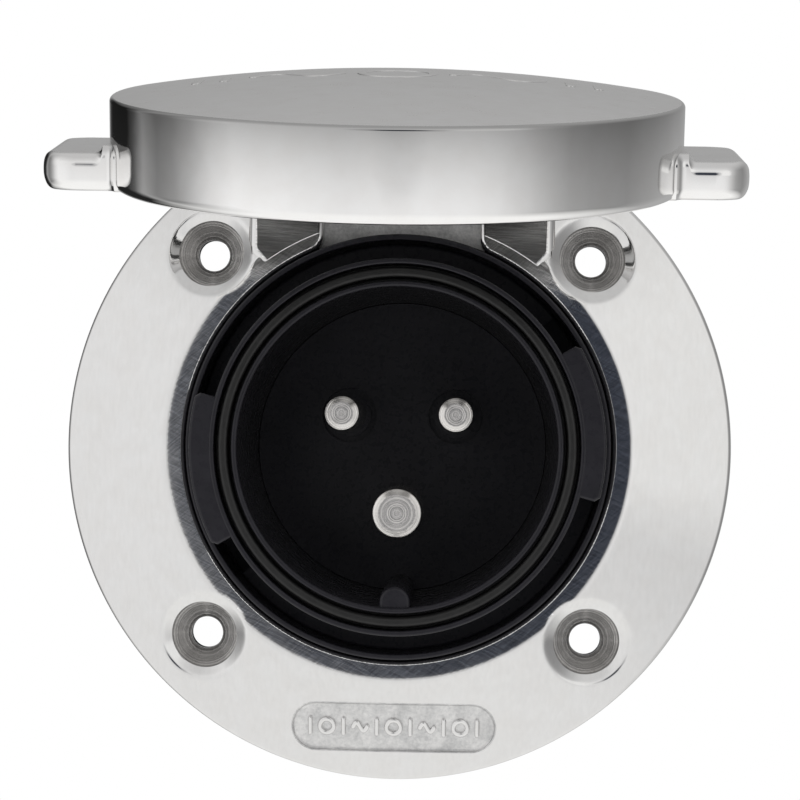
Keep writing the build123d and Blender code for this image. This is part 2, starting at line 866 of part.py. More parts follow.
def make_rear_cover():
    body = rod(cover_radius, cover_front_depth, cover_back_depth)
    body = round_circles(body, cover_radius, cover_back_depth, cover_back_round)
    body += rod(gland_pad_radius, cover_back_depth - shared, gland_pad_depth)
    inside_back = cover_back_depth - cover_back_wall
    inside = rod(cover_radius - cover_wall, cover_front_depth - past, inside_back)
    for angle in cover_screw_angles:
        x, z = on_circle(cover_screw_circle, angle)
        inside -= rod(cover_pillar_radius, cover_ear_front_depth, cover_back_depth, x, z)
    body -= inside
    for angle in cover_screw_angles:
        x, z = on_circle(cover_screw_circle, angle)
        screw_hole = cover_screw_radius + cover_screw_clearance
        body -= rod(cover_well_radius, cover_ear_back_depth, cover_back_depth + past, x, z)
        body -= rod(screw_hole, cover_ear_front_depth - past, cover_ear_back_depth + past, x, z)
    body -= rod(gland_thread_radius + gland_gap, inside_back - past, gland_pad_depth + past)
    return body


def make_rear_cover_seal():
    inner = housing_back_ring_radius + cover_seal_inner_gap
    return ring(inner, cover_radius - cover_seal_outer_gap, 0, cover_front_depth)


def gland_depths():
    """Depths along the gland: hexagon front, hexagon back and neck end."""
    hex_front = gland_pad_depth + gland_washer_thickness
    hex_back = hex_front + gland_hex_length
    return hex_front, hex_back, hex_back + gland_neck_length


def trimmed_hexagon(front, back):
    """Gland hexagon between two depths, with its corners turned down to a circle."""
    bar = hexagon(gland_hex_width, front, back)
    return bar & rod(gland_hex_width / 2 + gland_corner_trim, front, back)


def make_gland_body():
    hex_front, hex_back, neck_end = gland_depths()
    locknut_front = cover_back_depth - cover_back_wall - locknut_length
    thread_front = locknut_front - gland_thread_past_locknut
    body = trimmed_hexagon(hex_front, hex_back)
    body += rod(gland_thread_radius, thread_front, hex_front + shared)
    body += rod(gland_neck_radius, hex_back - shared, neck_end)
    body -= rod(gland_bore_radius, thread_front - past, neck_end + past)
    mouth_radius_behind = gland_bore_radius + gland_cone_widening
    body -= cone(gland_bore_radius, mouth_radius_behind, neck_end - gland_cone_length, neck_end)
    return body


def make_gland_washer():
    outer = gland_hex_width / 2 + gland_corner_trim / 2
    return ring(gland_thread_radius + gland_gap, outer, gland_pad_depth, gland_depths()[0])


def make_gland_locknut():
    front = cover_back_depth - cover_back_wall - locknut_length
    back = front + locknut_length
    return trimmed_hexagon(front, back) - rod(gland_thread_radius + thread_gap, front - past, back + past)


def make_gland_seal():
    neck_end = gland_depths()[2]
    front = neck_end - gland_seal_cone_length
    back = front + gland_seal_length
    sleeve = cone(gland_bore_radius + gland_gap, gland_seal_radius, front, neck_end)
    sleeve += rod(gland_seal_radius, neck_end, back)
    return sleeve - rod(gland_seal_bore_radius, front - past, back + past)


def make_gland_nut():
    hex_back, neck_end = gland_depths()[1:]
    front = hex_back + gland_nut_gap
    grip_back = front + gland_nut_grip_length
    back = front + gland_nut_length
    dome = rod(gland_nut_dome_radius, grip_back - shared, back)
    dome = fillet(dome.faces().sort_by(Axis.Y)[-1].edges(), gland_nut_dome_round)
    nut = trimmed_hexagon(front, grip_back) + dome
    nut -= rod(gland_neck_radius + thread_gap, front - past, neck_end + gland_nut_inner_gap)
    return nut - rod(gland_nut_mouth_radius, front - past, back + past)


pieces = {
    "flange": make_flange(),
    "flange_gasket": make_flange_gasket(),
    "lid": make_lid(),
    "lid_gasket": make_lid_gasket(),
    "hinge_pin": make_hinge_pin(),
    "hinge_bushes": make_hinge_bushes(),
    "lid_spring": make_lid_spring(),
    "socket_housing": make_socket_housing(),
    "socket_seal": make_socket_seal(),
    "housing_gasket": make_housing_gasket(),
    "housing_screws": make_housing_screws(),
    "contact_carrier": make_contact_carrier(),
    "carrier_screws": make_carrier_screws(),
    "pin_live": make_pin(power_pin_radius, pin_tip_depth, live_angle),
    "pin_neutral": make_pin(power_pin_radius, pin_tip_depth, neutral_angle),
    "pin_earth": make_pin(earth_pin_radius, earth_pin_tip_depth, earth_angle),
    "terminal_clamps": make_terminal_clamps(),
    "terminal_screws": make_terminal_screws(),
    "rear_cover": make_rear_cover(),
    "rear_cover_seal": make_rear_cover_seal(),
    "rear_cover_screws": make_rear_cover_screws(),
    "gland_body": make_gland_body(),
    "gland_washer": make_gland_washer(),
    "gland_locknut": make_gland_locknut(),
    "gland_seal": make_gland_seal(),
    "gland_nut": make_gland_nut(),
}

os.makedirs("parts", exist_ok=True)
for name, shape in pieces.items():
    solids = shape if isinstance(shape, list) else [shape]
    export_step(Compound(children=solids) if len(solids) > 1 else solids[0], f"parts/{name}.step")
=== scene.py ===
import math

import bmesh
import bpy
import numpy as np
from mathutils import Matrix, Quaternion, Vector


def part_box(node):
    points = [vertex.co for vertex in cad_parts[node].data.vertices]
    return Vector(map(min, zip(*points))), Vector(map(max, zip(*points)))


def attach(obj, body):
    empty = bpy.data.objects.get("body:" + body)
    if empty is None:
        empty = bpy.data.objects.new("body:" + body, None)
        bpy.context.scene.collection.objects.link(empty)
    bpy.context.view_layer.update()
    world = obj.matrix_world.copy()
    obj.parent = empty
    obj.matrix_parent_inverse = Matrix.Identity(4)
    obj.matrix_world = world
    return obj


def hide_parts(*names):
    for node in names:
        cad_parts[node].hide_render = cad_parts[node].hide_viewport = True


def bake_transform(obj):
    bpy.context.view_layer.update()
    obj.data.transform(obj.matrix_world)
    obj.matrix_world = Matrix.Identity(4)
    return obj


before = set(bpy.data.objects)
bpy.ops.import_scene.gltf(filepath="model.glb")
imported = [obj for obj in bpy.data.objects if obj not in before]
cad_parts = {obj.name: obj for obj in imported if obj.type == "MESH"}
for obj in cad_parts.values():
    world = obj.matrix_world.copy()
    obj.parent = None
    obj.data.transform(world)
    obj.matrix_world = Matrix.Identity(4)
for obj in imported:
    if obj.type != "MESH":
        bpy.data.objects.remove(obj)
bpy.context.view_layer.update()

# Round stainless-steel power inlet with a hinged lid, seen with the lid standing open.
# Sizes below are in millimetres in the row frame, and a "depth" is a Y value: smaller is nearer.
MM = 0.001

# How far a flared cutter runs past the face that it cuts, and where deep cutters start
FLARE_LEAD = 2.0
CUT_NEAR = -10.0
HAIR = 0.01

# Flange
FLANGE_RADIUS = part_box("flange")[1].x / MM
RING_DEPTH = -8.0
RING_RADIUS = 32.7
EDGE_DEPTH = -3.0
RING_EDGE_ROUND = 3.0
FLANGE_EDGE_ROUND = 0.8
FLANGE_BACK_ROUND = 0.3
BORE_RADIUS = 29.9
BORE_RELIEF = 0.2
BORE_STOCK = 1.0
BORE_EDGE_ROUND = 0.75
BORE_CUT_LEAD = 0.04
SCREW_BOSS_RADIUS = 6.0
SCREW_BOSS_GAP = 0.4
SEAT_RADIUS = 35.0
SEAT_DEPTH = -3.0
SEAT_STEP = 2.0
FACE_GRID = 0.36
FACE_SEGMENTS = 720

# Screw holes and the shallow dishes round them
SCREW_OFFSET = 38.0 / math.sqrt(2)
SCREW_PLACES = [(side * SCREW_OFFSET, level * SCREW_OFFSET) for side in (-1, 1) for level in (-1, 1)]
SCREW_HEAD_RADIUS = 4.7
SCREW_HOLE_RADIUS = 2.25
SCREW_SINK_DEPTH = -3.4
DISH_RADIUS = 6.3
DISH_FADE = 0.45
DISH_SLOPE = 0.75
DISH_PAST = 0.5

# Hinge
HINGE_DEPTH = -5.0
HINGE_HEIGHT = 38.5
HINGE = Vector((0, HINGE_DEPTH, HINGE_HEIGHT)) * MM
HINGE_HOLE_RADIUS = 1.54
HINGE_HOLE_HALF = 18.05
OPEN_ANGLE = 77.0
BOSS_HALF_WIDTH = 21.5
BOSS_LOW = 27.0
BOSS_RADIUS = 43.6
BOSS_INNER_RADIUS = 31.9
BOSS_INNER_SPAN = 38.0
BOSS_PROUD = 0.06
BOSS_BACK = -3.5
BOSS_ROUND = 1.4
BOSS_CORNER = 1.8
BOSS_BLEND = 8.0
RECESS_HALF_WIDTH = 11.0
RECESS_CORNER_ROUND = 2.6
RECESS_TOP = 44.5
RECESS_SHELF_DEPTH = -4.2
POCKET_LOW = 35.3
POCKET_DEPTH = -1.6
POCKET_GAP = 0.1
POCKET_CORNER = 1.0

# Relief panel
PANEL_HEIGHT = -39.4
PANEL_LENGTH = 28.4
PANEL_WIDTH = 6.7
PANEL_SINK = 0.45
PANEL_EDGE_ROUND = 0.25
PANEL_STEPS = 24
SIGN_HEIGHT = 2.7
SIGN_STROKE = 0.72
SIGN_PITCH = 2.35
SIGN_RISE = 0.42
SIGN_WAVE = 0.6

# Lid, in its closed position
LID_RADIUS = 35.8
LID_WALL = 3.0
LID_INNER_RADIUS = LID_RADIUS - LID_WALL
LID_RIM_DEPTH = -8.1
LID_EDGE_DEPTH = -19.3
LID_DOME_HEIGHT = 3.0
DOME_SPHERE = (LID_RADIUS**2 + LID_DOME_HEIGHT**2) / (2 * LID_DOME_HEIGHT)
DOME_STEP = 2.0
LID_FACE_THICKNESS = 2.4
LID_CEILING_DEPTH = -17.1
LID_POCKET_RADIUS = 20.8
LID_FACE_ROUND = 0.6
LID_RIM_ROUND = 1.4
EMBLEM_STROKE = 1.2
EMBLEM_RISE = 0.13
EMBLEM_RING_RADIUS = 4.45
EMBLEM_WAVE_OFFSET = 12.5
EMBLEM_WAVE_LENGTH = 11.0
EMBLEM_HALF_HEIGHT = 2.4
EMBLEM_BARS = (21.5, 25.0)

# Lid's ears
EAR_START = 31.0
EAR_STATION_STEP = 0.25
EAR_REACH = 43.6
EAR_HALF_WIDTH = 10.0
EAR_NEAR_DEPTH = -8.1
EAR_FAR_DEPTH = -12.8
EAR_CORNER = 4.5
EAR_ROUND = 1.6
EAR_ROOT_FLARE = 1.0

# Lid's hinge arms
ARM_OFFSET = 8.5
ARM_HALF_WIDTH = 2.3
ARM_ROUND = 0.5
ARM_FRONT = -14.5
ARM_ROOT_HEIGHT = 33.0
KNUCKLE_RADIUS = 3.0
BUSH_HOLE_RADIUS = 2.27

# Lid's seal
LID_SEAL_TOP = -17.1
LID_SEAL_FACE = -14.1
LID_SEAL_INNER = 21.8
LID_SEAL_OUTER = 26.4
LID_SEAL_GROOVE = (23.6, 24.1, 24.6)
LID_SEAL_GROOVE_DEPTH = 0.5

# Socket
MOUTH_DEPTH = -14.0
MOUTH_RADIUS = 22.1
FLOOR_DEPTH = 21.0
FLOOR_RADIUS = 21.7
LIP_RADIUS = 26.0
SEAL_GROOVE_INNER = 22.87
SEAL_GROOVE_OUTER = 25.27
SEAL_GROOVE_FLOOR = -9.0
CHANNEL_RADIUS = 28.9
SLEEVE_RADIUS = 29.7
SLEEVE_DEPTH = -8.6
COLLAR_RADIUS = 34.8
COLLAR_DEPTH = -2.5
BARREL_RADIUS = 29.0
BARREL_END = 8.0
NECK_RADIUS = 24.0
NECK_END = 28.0
LUG_INNER = 25.6
LUG_OUTER = 28.75
LUG_FRONT = -13.93
LUG_CORNER = 0.7
LUG_SPANS = ((-14.5, 30.5), (165.5, 209.5))
POCKET_INNER = 26.12
POCKET_OUTER = 28.78
POCKET_SPANS = ((30.7, 41.0), (209.7, 220.0))
KEY_RADIUS = 2.15
KEY_TOP = -21.35
KEY_FOOT = -22.6
KEY_FRONT = -13.4

# Rubber ring in the socket's mouth
SEAL_BEAD_INNER = 23.35
SEAL_BEAD_OUTER = 24.86
SEAL_BEAD_FRONT = -13.7
SEAL_BEAD_ROUND = 0.6
SEAL_FOOT_FRONT = -10.4
SEAL_GAP = 0.05

# Contact pins
PIN_CIRCLE_RADIUS = 9.25
POWER_PIN_RADIUS = 2.5
POWER_PIN_TIP = -7.0
EARTH_PIN_RADIUS = 3.5
EARTH_PIN_TIP = -8.5
PIN_TAIL_RADIUS = 1.99
PIN_TIP_INSET = 0.9
PIN_BEVEL = (0.08, 0.42)
PIN_BEVEL_END = 0.95

# Painted shade on the lid's wall, falling from its rim to its domed face
WALL_NEAR_RIM = 0.98
WALL_NEAR_FACE = 0.46
WALL_FALL_CURVE = 1.4

# Camera, lens as picture size over its distance, and picture width in pixels
CAMERA_PLACE = (7.6, -360.0, 0.8)
CAMERA_TARGET = (0.0, 0.0, 6.7)
CAMERA_LEAN = 1.0
FOCAL_PIXELS = 2520.0
PICTURE_PIXELS = 800.0
SENSOR_WIDTH = 36.0

FLOOR_HALF = 3000.0
FLOOR_LEVEL = -130.0


# ---- meshes

def new_object(name, points, faces, material=None):
    """Mesh object from points in millimetres, with its faces turned outwards."""
    mesh = bpy.data.meshes.new(name)
    mesh.from_pydata([(x * MM, y * MM, z * MM) for x, y, z in points], [], faces)
    solid = bmesh.new()
    solid.from_mesh(mesh)
    bmesh.ops.recalc_face_normals(solid, faces=solid.faces)
    solid.to_mesh(mesh)
    solid.free()
    obj = bpy.data.objects.new(name, mesh)
    bpy.context.scene.collection.objects.link(obj)
    if material:
        mesh.materials.append(material)
    return obj


def soft_corners(corners, closed=True, step=12.0):
    """Outline through (a, b) or (a, b, round) corners, with an arc in place of each rounded one."""
    points = []
    count = len(corners)
    for i, corner in enumerate(corners):
        here = np.array(corner[:2], float)
        amount = corner[2] if len(corner) > 2 else 0.0
        if amount <= 0 or (not closed and i in (0, count - 1)):
            points.append(tuple(here))
            continue
        before = np.array(corners[i - 1][:2], float) - here
        after = np.array(corners[(i + 1) % count][:2], float) - here
        before /= np.linalg.norm(before)
        after /= np.linalg.norm(after)
        half = math.acos(max(-1.0, min(1.0, float(before @ after)))) / 2
        reach = amount / math.tan(half)
        middle = here + (before + after) / np.linalg.norm(before + after) * amount / math.sin(half)
        start = here + before * reach - middle
        end = here + after * reach - middle
        first = math.atan2(start[1], start[0])
        turn = (math.atan2(end[1], end[0]) - first + math.pi) % (2 * math.pi) - math.pi
        pieces = max(2, math.ceil(abs(math.degrees(turn)) / step))
        angles = [first + turn * k / pieces for k in range(pieces + 1)]
        points += [tuple(middle + amount * np.array((math.cos(a), math.sin(a)))) for a in angles]
    return points


def refine(points, step):
    """The same open outline with no stretch longer than a step."""
    result = [points[0]]
    for (a, b), (c, d) in zip(points, points[1:]):
        pieces = max(1, math.ceil(math.hypot(c - a, d - b) / step))
        for k in range(1, pieces + 1):
            share = k / pieces
            result.append((a + (c - a) * share, b + (d - b) * share))
    return result


def turned(name, outline, material=None, segments=192, x=0.0, z=0.0):
    """Solid turned about Y from (radius, depth) points, either a closed loop or from axis to axis."""
    tiny = 1e-6
    points = []
    rings = []
    for radius, depth in outline:
        if radius < tiny:
            rings.append([len(points)] * segments)
            points.append((x, depth, z))
            continue
        rings.append(list(range(len(points), len(points) + segments)))
        for k in range(segments):
            angle = 2 * math.pi * k / segments
            points.append((x + radius * math.cos(angle), depth, z + radius * math.sin(angle)))
    faces = []
    closed = outline[0][0] > tiny
    pairs = list(zip(rings, rings[1:]))
    if closed:
        pairs.append((rings[-1], rings[0]))
    for low, high in pairs:
        for k in range(segments):
            after = (k + 1) % segments
            face = list(dict.fromkeys([low[k], low[after], high[after], high[k]]))
            if len(face) > 2:
                faces.append(face)
    return new_object(name, points, faces, material)


def inset_outline(outline, amount):
    """Moves each point of a closed outline inwards along its corner's bisector."""
    loop = np.array(outline, float)
    ahead = np.roll(loop, -1, 0) - loop
    area = np.sum(loop[:, 0] * np.roll(loop[:, 1], -1) - np.roll(loop[:, 0], -1) * loop[:, 1])
    ahead /= np.linalg.norm(ahead, axis=1)[:, None]
    inward = np.stack([-ahead[:, 1], ahead[:, 0]], 1) * (1.0 if area > 0 else -1.0)
    middle = inward + np.roll(inward, 1, 0)
    middle /= np.maximum(np.sum(middle * inward, 1), 0.5)[:, None]
    return loop + middle * amount


def skin(count, levels):
    """Faces over both ends of a stack of closed loops, and between the loops."""
    faces = [list(range(count)), list(range(count * (levels - 1), count * levels))]
    for base in range(0, count * (levels - 1), count):
        for k in range(count):
            after = (k + 1) % count
            faces.append([base + k, base + after, base + count + after, base + count + k])
    return faces


def prism(name, outline, front, back, material=None, front_round=0.0, back_round=0.0, steps=5):
    """Solid along Y from an (x, z) outline, with rounded or, for a negative amount, flared edges."""
    angles = [math.pi / 2 * k / steps for k in range(steps + 1)]
    near, far = abs(front_round), abs(back_round)
    levels = []
    if front_round < 0:
        levels.append((front_round, front - FLARE_LEAD))
    if front_round:
        levels += [(front_round * (1 - math.sin(a)), front + near * (1 - math.cos(a))) for a in angles]
    else:
        levels.append((0.0, front))
    if back_round:
        levels += [(back_round * (1 - math.cos(a)), back - far * (1 - math.sin(a))) for a in angles]
    else:
        levels.append((0.0, back))
    points = [(x, depth, z) for inset, depth in levels for x, z in inset_outline(outline, inset)]
    return new_object(name, points, skin(len(outline), len(levels)), material)


def arc(radius, start, end, step=1.5, x=0.0, z=0.0):
    """(x, z) points on a circle about Y between two angles from +X towards +Z."""
    pieces = max(1, math.ceil(abs(end - start) / step))
    angles = [math.radians(start + (end - start) * k / pieces) for k in range(pieces + 1)]
    return [(x + radius * math.cos(a), z + radius * math.sin(a)) for a in angles]


def disc(radius, x, z, step=3.0):
    """Circle outline for a prism."""
    return arc(radius, 0, 360 - step, step, x, z)


def bar(x, z, half, steps):
    """Upright line centred on (x, z)."""
    return [(x, z + half * (2 * k / steps - 1)) for k in range(steps + 1)]


def wave(x, z, length, rise, steps):
    """One period of a wave centred on (x, z)."""
    shares = [k / steps for k in range(steps + 1)]
    return [(x + (share - 0.5) * length, z + rise * math.sin(2 * math.pi * share)) for share in shares]


def combine(obj, other, operation="DIFFERENCE"):
    """Cuts other away from obj, or joins it, and removes other."""
    step = obj.modifiers.new("combine", "BOOLEAN")
    step.operation = operation
    step.solver = "EXACT"
    step.material_mode = "TRANSFER"
    step.object = other
    graph = bpy.context.evaluated_depsgraph_get()
    mesh = bpy.data.meshes.new_from_object(obj.evaluated_get(graph))
    obj.modifiers.clear()
    obj.data = mesh
    bpy.data.objects.remove(other)


def read(items, field, kind=float, width=1):
    """One field of many mesh items as an array."""
    values = np.zeros(len(items) * width, kind)
    items.foreach_get(field, values)
    return values.reshape(-1, width) if width > 1 else values


def polish(obj, crease):
    """Smooth shading weighted by area, broken where faces meet at more than the crease angle."""
    mesh = obj.data
    mesh.shade_smooth()
    vertex = read(mesh.loops, "vertex_index", np.int64)
    normals = read(mesh.polygons, "normal", width=3)
    areas = read(mesh.polygons, "area")
    sizes = read(mesh.polygons, "loop_total", np.int64)
    loops = len(vertex)
    face = np.repeat(np.arange(len(sizes)), sizes)
    order = np.argsort(vertex, kind="stable")
    by_vertex = vertex[order]
    loop_normal = normals[face][order]
    loop_area = areas[face][order][:, None]
    total = loop_normal * loop_area
    limit = math.cos(math.radians(crease))
    shift = 1
    while shift < loops:
        near = np.nonzero(by_vertex[:-shift] == by_vertex[shift:])[0]
        if not len(near):
            break
        alike = np.sum(loop_normal[near] * loop_normal[near + shift], 1) > limit
        near = near[alike]
        total[near] += loop_normal[near + shift] * loop_area[near + shift]
        total[near + shift] += loop_normal[near] * loop_area[near]
        shift += 1
    result = np.zeros((loops, 3))
    result[order] = total / np.maximum(np.linalg.norm(total, axis=1), 1e-30)[:, None]
    mesh.normals_split_custom_set([tuple(n) for n in result])


def stroke(path, closed, width, height, base, sink=0.3, sides=8, caps=4):
    """Points and faces of a raised line along (x, z) points, on a face whose depth is base(x, z)."""
    path = np.array(path, float)
    count = len(path)
    if closed:
        along = np.roll(path, -1, 0) - np.roll(path, 1, 0)
    else:
        along = np.gradient(path, axis=0)
    along /= np.linalg.norm(along, axis=1)[:, None]
    across = np.stack([-along[:, 1], along[:, 0]], 1)
    sections = [(path[i], across[i], 1.0) for i in range(count)]
    if not closed:
        for k in range(1, caps + 1):
            out = math.radians(90 * k / (caps + 0.5))
            past = width / 2 * math.sin(out)
            sections.insert(0, (path[0] - along[0] * past, across[0], math.cos(out)))
            sections.append((path[-1] + along[-1] * past, across[-1], math.cos(out)))
    angles = [math.pi * k / sides for k in range(sides + 1)]
    profile = [(math.cos(a), height * math.sin(a) ** 0.7) for a in angles] + [(-1.0, None), (1.0, None)]
    points = []
    for centre, side, scale in sections:
        for share, rise in profile:
            x, z = centre + side * (width / 2 * share * scale)
            points.append((x, base(x, z) + (sink if rise is None else -rise * math.sqrt(scale)), z))
    row = len(profile)
    faces = []
    spans = len(sections) if closed else len(sections) - 1
    for i in range(spans):
        a = i * row
        b = ((i + 1) % len(sections)) * row
        for k in range(row):
            n = (k + 1) % row
            faces.append([a + k, a + n, b + n, b + k])
    if not closed:
        faces.append(list(range(row)))
        faces.append(list(range(len(points) - row, len(points))))
    return points, faces


def gather(name, parts, material):
    """One object from several (points, faces) lists."""
    points = []
    faces = []
    for part_points, part_faces in parts:
        start = len(points)
        points += part_points
        faces += [[index + start for index in face] for face in part_faces]
    return new_object(name, points, faces, material)


def opened(obj):
    """Turns a piece of the closed lid about the hinge to the resting open position."""
    turn = Matrix.Rotation(math.radians(-OPEN_ANGLE), 4, "X")
    obj.data.transform(Matrix.Translation(HINGE) @ turn @ Matrix.Translation(-HINGE))
    return obj


# ---- materials

# Usual range of the cloudy noise
NOISE_LOW = 0.35
NOISE_HIGH = 0.65


class Shader:
    """Node tree of one material, with the object's coordinates in millimetres at hand."""

    def __init__(self, name):
        self.material = bpy.data.materials.new(name)
        self.material.use_nodes = True
        self.tree = self.material.node_tree
        self.surface = self.tree.nodes["Principled BSDF"]
        self.place = self.scaled(self.add("TexCoord").outputs["Object"], 1 / MM)

    def add(self, kind, inputs=None, **settings):
        """New shader node with its settings, and its inputs set or linked to other outputs."""
        node = self.tree.nodes.new("ShaderNode" + kind)
        for key, value in settings.items():
            setattr(node, key, value)
        for key, value in (inputs or {}).items():
            if isinstance(value, bpy.types.NodeSocket):
                self.tree.links.new(value, node.inputs[key])
            else:
                node.inputs[key].default_value = value
        return node

    def stretch(self, x, y, z, turn=(0.0, 0.0, 0.0)):
        """Coordinates scaled along each axis, after a turn in degrees."""
        inputs = {"Vector": self.place, "Scale": (1 / x, 1 / y, 1 / z)}
        inputs["Rotation"] = [math.radians(angle) for angle in turn]
        return self.add("Mapping", inputs, vector_type="TEXTURE").outputs[0]

    def scaled(self, vector, factor):
        """Vector or colour times a number."""
        inputs = {0: vector, "Scale": factor}
        return self.add("VectorMath", inputs, operation="SCALE").outputs[0]

    def away(self, x, z, mirrored=False):
        """Distance from a line along Y through (x, z), and its two parts."""
        split = self.add("SeparateXYZ", {0: self.place})
        parts = []
        for value, middle in ((split.outputs[0], x), (split.outputs[2], z)):
            if mirrored:
                value = self.math("ABSOLUTE", value)
            parts.append(self.math("SUBTRACT", value, middle))
        across, up = parts
        square = self.math("ADD", self.math("MULTIPLY", across, across), self.math("MULTIPLY", up, up))
        return self.math("SQRT", square), across, up

    def noise(self, vector, scale, detail=3.0, rough=0.55):
        """Cloudy pattern between 0 and 1."""
        inputs = {"Vector": vector, "Scale": scale, "Detail": detail, "Roughness": rough}
        return self.add("TexNoise", inputs).outputs["Fac"]

    def cloud(self, scale, detail=3.0, rough=0.55):
        """Cloudy pattern on the object's own coordinates."""
        return self.noise(self.place, scale, detail, rough)

    def ring_noise(self, value, scale):
        """Uneven stripes between 0 and 1 along one number."""
        line = self.add("CombineXYZ", {0: value})
        return self.noise(line.outputs[0], scale, 4.0, 0.7)

    def remap(self, value, low, high, new_low, new_high):
        """Value moved from one range to another."""
        inputs = {0: value, 1: low, 2: high, 3: new_low, 4: new_high}
        return self.add("MapRange", inputs).outputs[0]

    def spread(self, noise, low=NOISE_LOW, high=NOISE_HIGH):
        """Noise widened so that its usual range fills 0 to 1."""
        return self.remap(noise, low, high, 0.0, 1.0)

    def math(self, operation, a, b=0.0):
        """One sum on numbers or outputs."""
        return self.add("Math", {0: a, 1: b}, operation=operation).outputs[0]

    def bump(self, height, distance, strength=1.0, before=None):
        """Fine surface relief, with the distance in millimetres."""
        inputs = {"Height": height, "Distance": distance * MM, "Strength": strength}
        if before is not None:
            inputs["Normal"] = before
        return self.add("Bump", inputs).outputs[0]

    def blend(self, share, first, second):
        """Colour mixed from two colours or outputs."""
        node = self.add("Mix", data_type="RGBA")
        for index, value in ((0, share), (6, first), (7, second)):
            if isinstance(value, bpy.types.NodeSocket):
                self.tree.links.new(value, node.inputs[index])
            else:
                node.inputs[index].default_value = value
        return node.outputs[2]

    def finish(self, **values):
        """Sets the surface's inputs and gives the material."""
        for key, value in values.items():
            socket = self.surface.inputs[key.replace("_", " ").title().replace("Ior", "IOR")]
            if isinstance(value, bpy.types.NodeSocket):
                self.tree.links.new(value, socket)
            else:
                socket.default_value = value
        return self.material


def grey(level, warmth=0.0):
    """Opaque grey from a linear level, a little yellow for positive warmth."""
    return (level * (1 + warmth), level, level * (1 - warmth), 1.0)


def painted_wall_shade(s):
    """Painted shade that darkens the colour softly along the lid's wall, from its rim towards its domed
    face.
    """
    lean = math.radians(OPEN_ANGLE)
    inputs = {0: s.place, 1: (0.0, HINGE_DEPTH, HINGE_HEIGHT)}
    from_hinge = s.add("VectorMath", inputs, operation="SUBTRACT").outputs[0]
    inputs = {0: from_hinge, 1: (0.0, -math.cos(lean), math.sin(lean))}
    along = s.add("VectorMath", inputs, operation="DOT_PRODUCT").outputs["Value"]
    share = s.remap(along, HINGE_DEPTH - LID_RIM_DEPTH, HINGE_DEPTH - LID_EDGE_DEPTH, 0.0, 1.0)
    return s.remap(s.math("POWER", share, WALL_FALL_CURVE), 0.0, 1.0, WALL_NEAR_RIM, WALL_NEAR_FACE)


def polished_steel(name, rough, wave, level, streaks=(), depth=0.0, contrast=0.02, with_painted_shade=False):
    """Polished cast steel: soft waves, fine streaks left by the polishing belt, and on the lid's wall a
    painted shade.
    """
    s = Shader(name)
    haze = s.cloud(0.35, 4.0)
    normal = s.bump(s.cloud(0.12, 2.0), wave)
    # On the lid's wall the colour carries painted shade, darker towards the domed face.
    shade = painted_wall_shade(s) if with_painted_shade else 1.0
    for layer in streaks:
        lines = s.noise(s.stretch(*layer), 1.0, 3.0, 0.6)
        normal = s.bump(lines, depth, 1.0, normal)
        shade = s.math("MULTIPLY", s.remap(lines, 0.3, 0.7, 1.0 - contrast, 1.0 + contrast), shade)
    grain = s.remap(s.math("ADD", haze, s.cloud(6.0, 2.0)), 0.6, 1.4, *rough)
    colour = s.scaled(s.blend(s.spread(haze), grey(level * 0.97, 0.012), grey(level, 0.006)), shade)
    return s.finish(base_color=colour, metallic=1.0, roughness=grain, normal=normal)


def machined_steel(name):
    """Countersink cut by a tool: fine rings about the nearest screw hole, with painted highlights in
    wedges round it.
    """
    s = Shader(name)
    away, across, up = s.away(SCREW_OFFSET, SCREW_OFFSET, mirrored=True)
    uneven = s.math("MULTIPLY", s.cloud(1.4, 2.0), 0.05)
    rings = s.ring_noise(s.math("ADD", away, uneven), 4.2)
    # Painted highlights: lighter wedges by the angle round the hole, added to the tool rings in the
    # colour.
    painted_highlight_wedges = s.ring_noise(s.math("ABSOLUTE", s.math("ARCTAN2", across, up)), 0.9)
    light = s.math("ADD", s.math("MULTIPLY", rings, 0.85), s.math("MULTIPLY", painted_highlight_wedges, 0.35))
    colour = s.blend(s.spread(light, 0.46, 0.74), grey(0.20, 0.02), grey(1.0, 0.02))
    return s.finish(base_color=colour, metallic=1.0, roughness=0.24, normal=s.bump(rings, 0.07))


def cast_steel(name, low, high, rough, grain, depth, metal=0.85):
    """Steel as it left the mould: matt and pitted."""
    s = Shader(name)
    pits = s.cloud(grain, 4.0, 0.65)
    stain = s.cloud(0.35, 3.0)
    mixed = s.math("ADD", pits, stain)
    colour = s.blend(s.spread(mixed, 2 * NOISE_LOW, 2 * NOISE_HIGH), grey(low), grey(high, 0.01))
    return s.finish(base_color=colour, metallic=metal, roughness=rough, normal=s.bump(pits, depth))


def plain_steel(name, level, rough, warmth=0.0, ring_axis=None):
    """Bright turned or drawn metal, with rings across the given axis."""
    s = Shader(name)
    haze = s.cloud(1.5, 3.0)
    normal = s.bump(haze, 0.01)
    if ring_axis is not None:
        split = s.add("SeparateXYZ", {0: s.place})
        wobble = s.math("MULTIPLY", s.cloud(0.8), 0.06)
        rings = s.math("SINE", s.math("MULTIPLY", s.math("ADD", split.outputs[ring_axis], wobble), 30.0))
        normal = s.bump(rings, 0.004, 1.0, normal)
    colour = s.blend(s.spread(haze), grey(level * 0.85, warmth), grey(level, warmth))
    roughness = s.remap(haze, 0.3, 0.7, rough * 0.8, rough * 1.3)
    return s.finish(base_color=colour, metallic=1.0, roughness=roughness, normal=normal)


def turned_nickel(name, x, z):
    """Nickel plating over a turned pin, with rings about the pin's axis at (x, z)."""
    s = Shader(name)
    away = s.away(x, z)[0]
    uneven = s.math("MULTIPLY", s.cloud(1.5, 2.0), 0.12)
    rings = s.ring_noise(s.math("ADD", away, uneven), 2.6)
    colour = s.blend(s.spread(rings), grey(0.60, 0.03), grey(0.95, 0.03))
    return s.finish(base_color=colour, metallic=1.0, roughness=0.22, normal=s.bump(rings, 0.08))


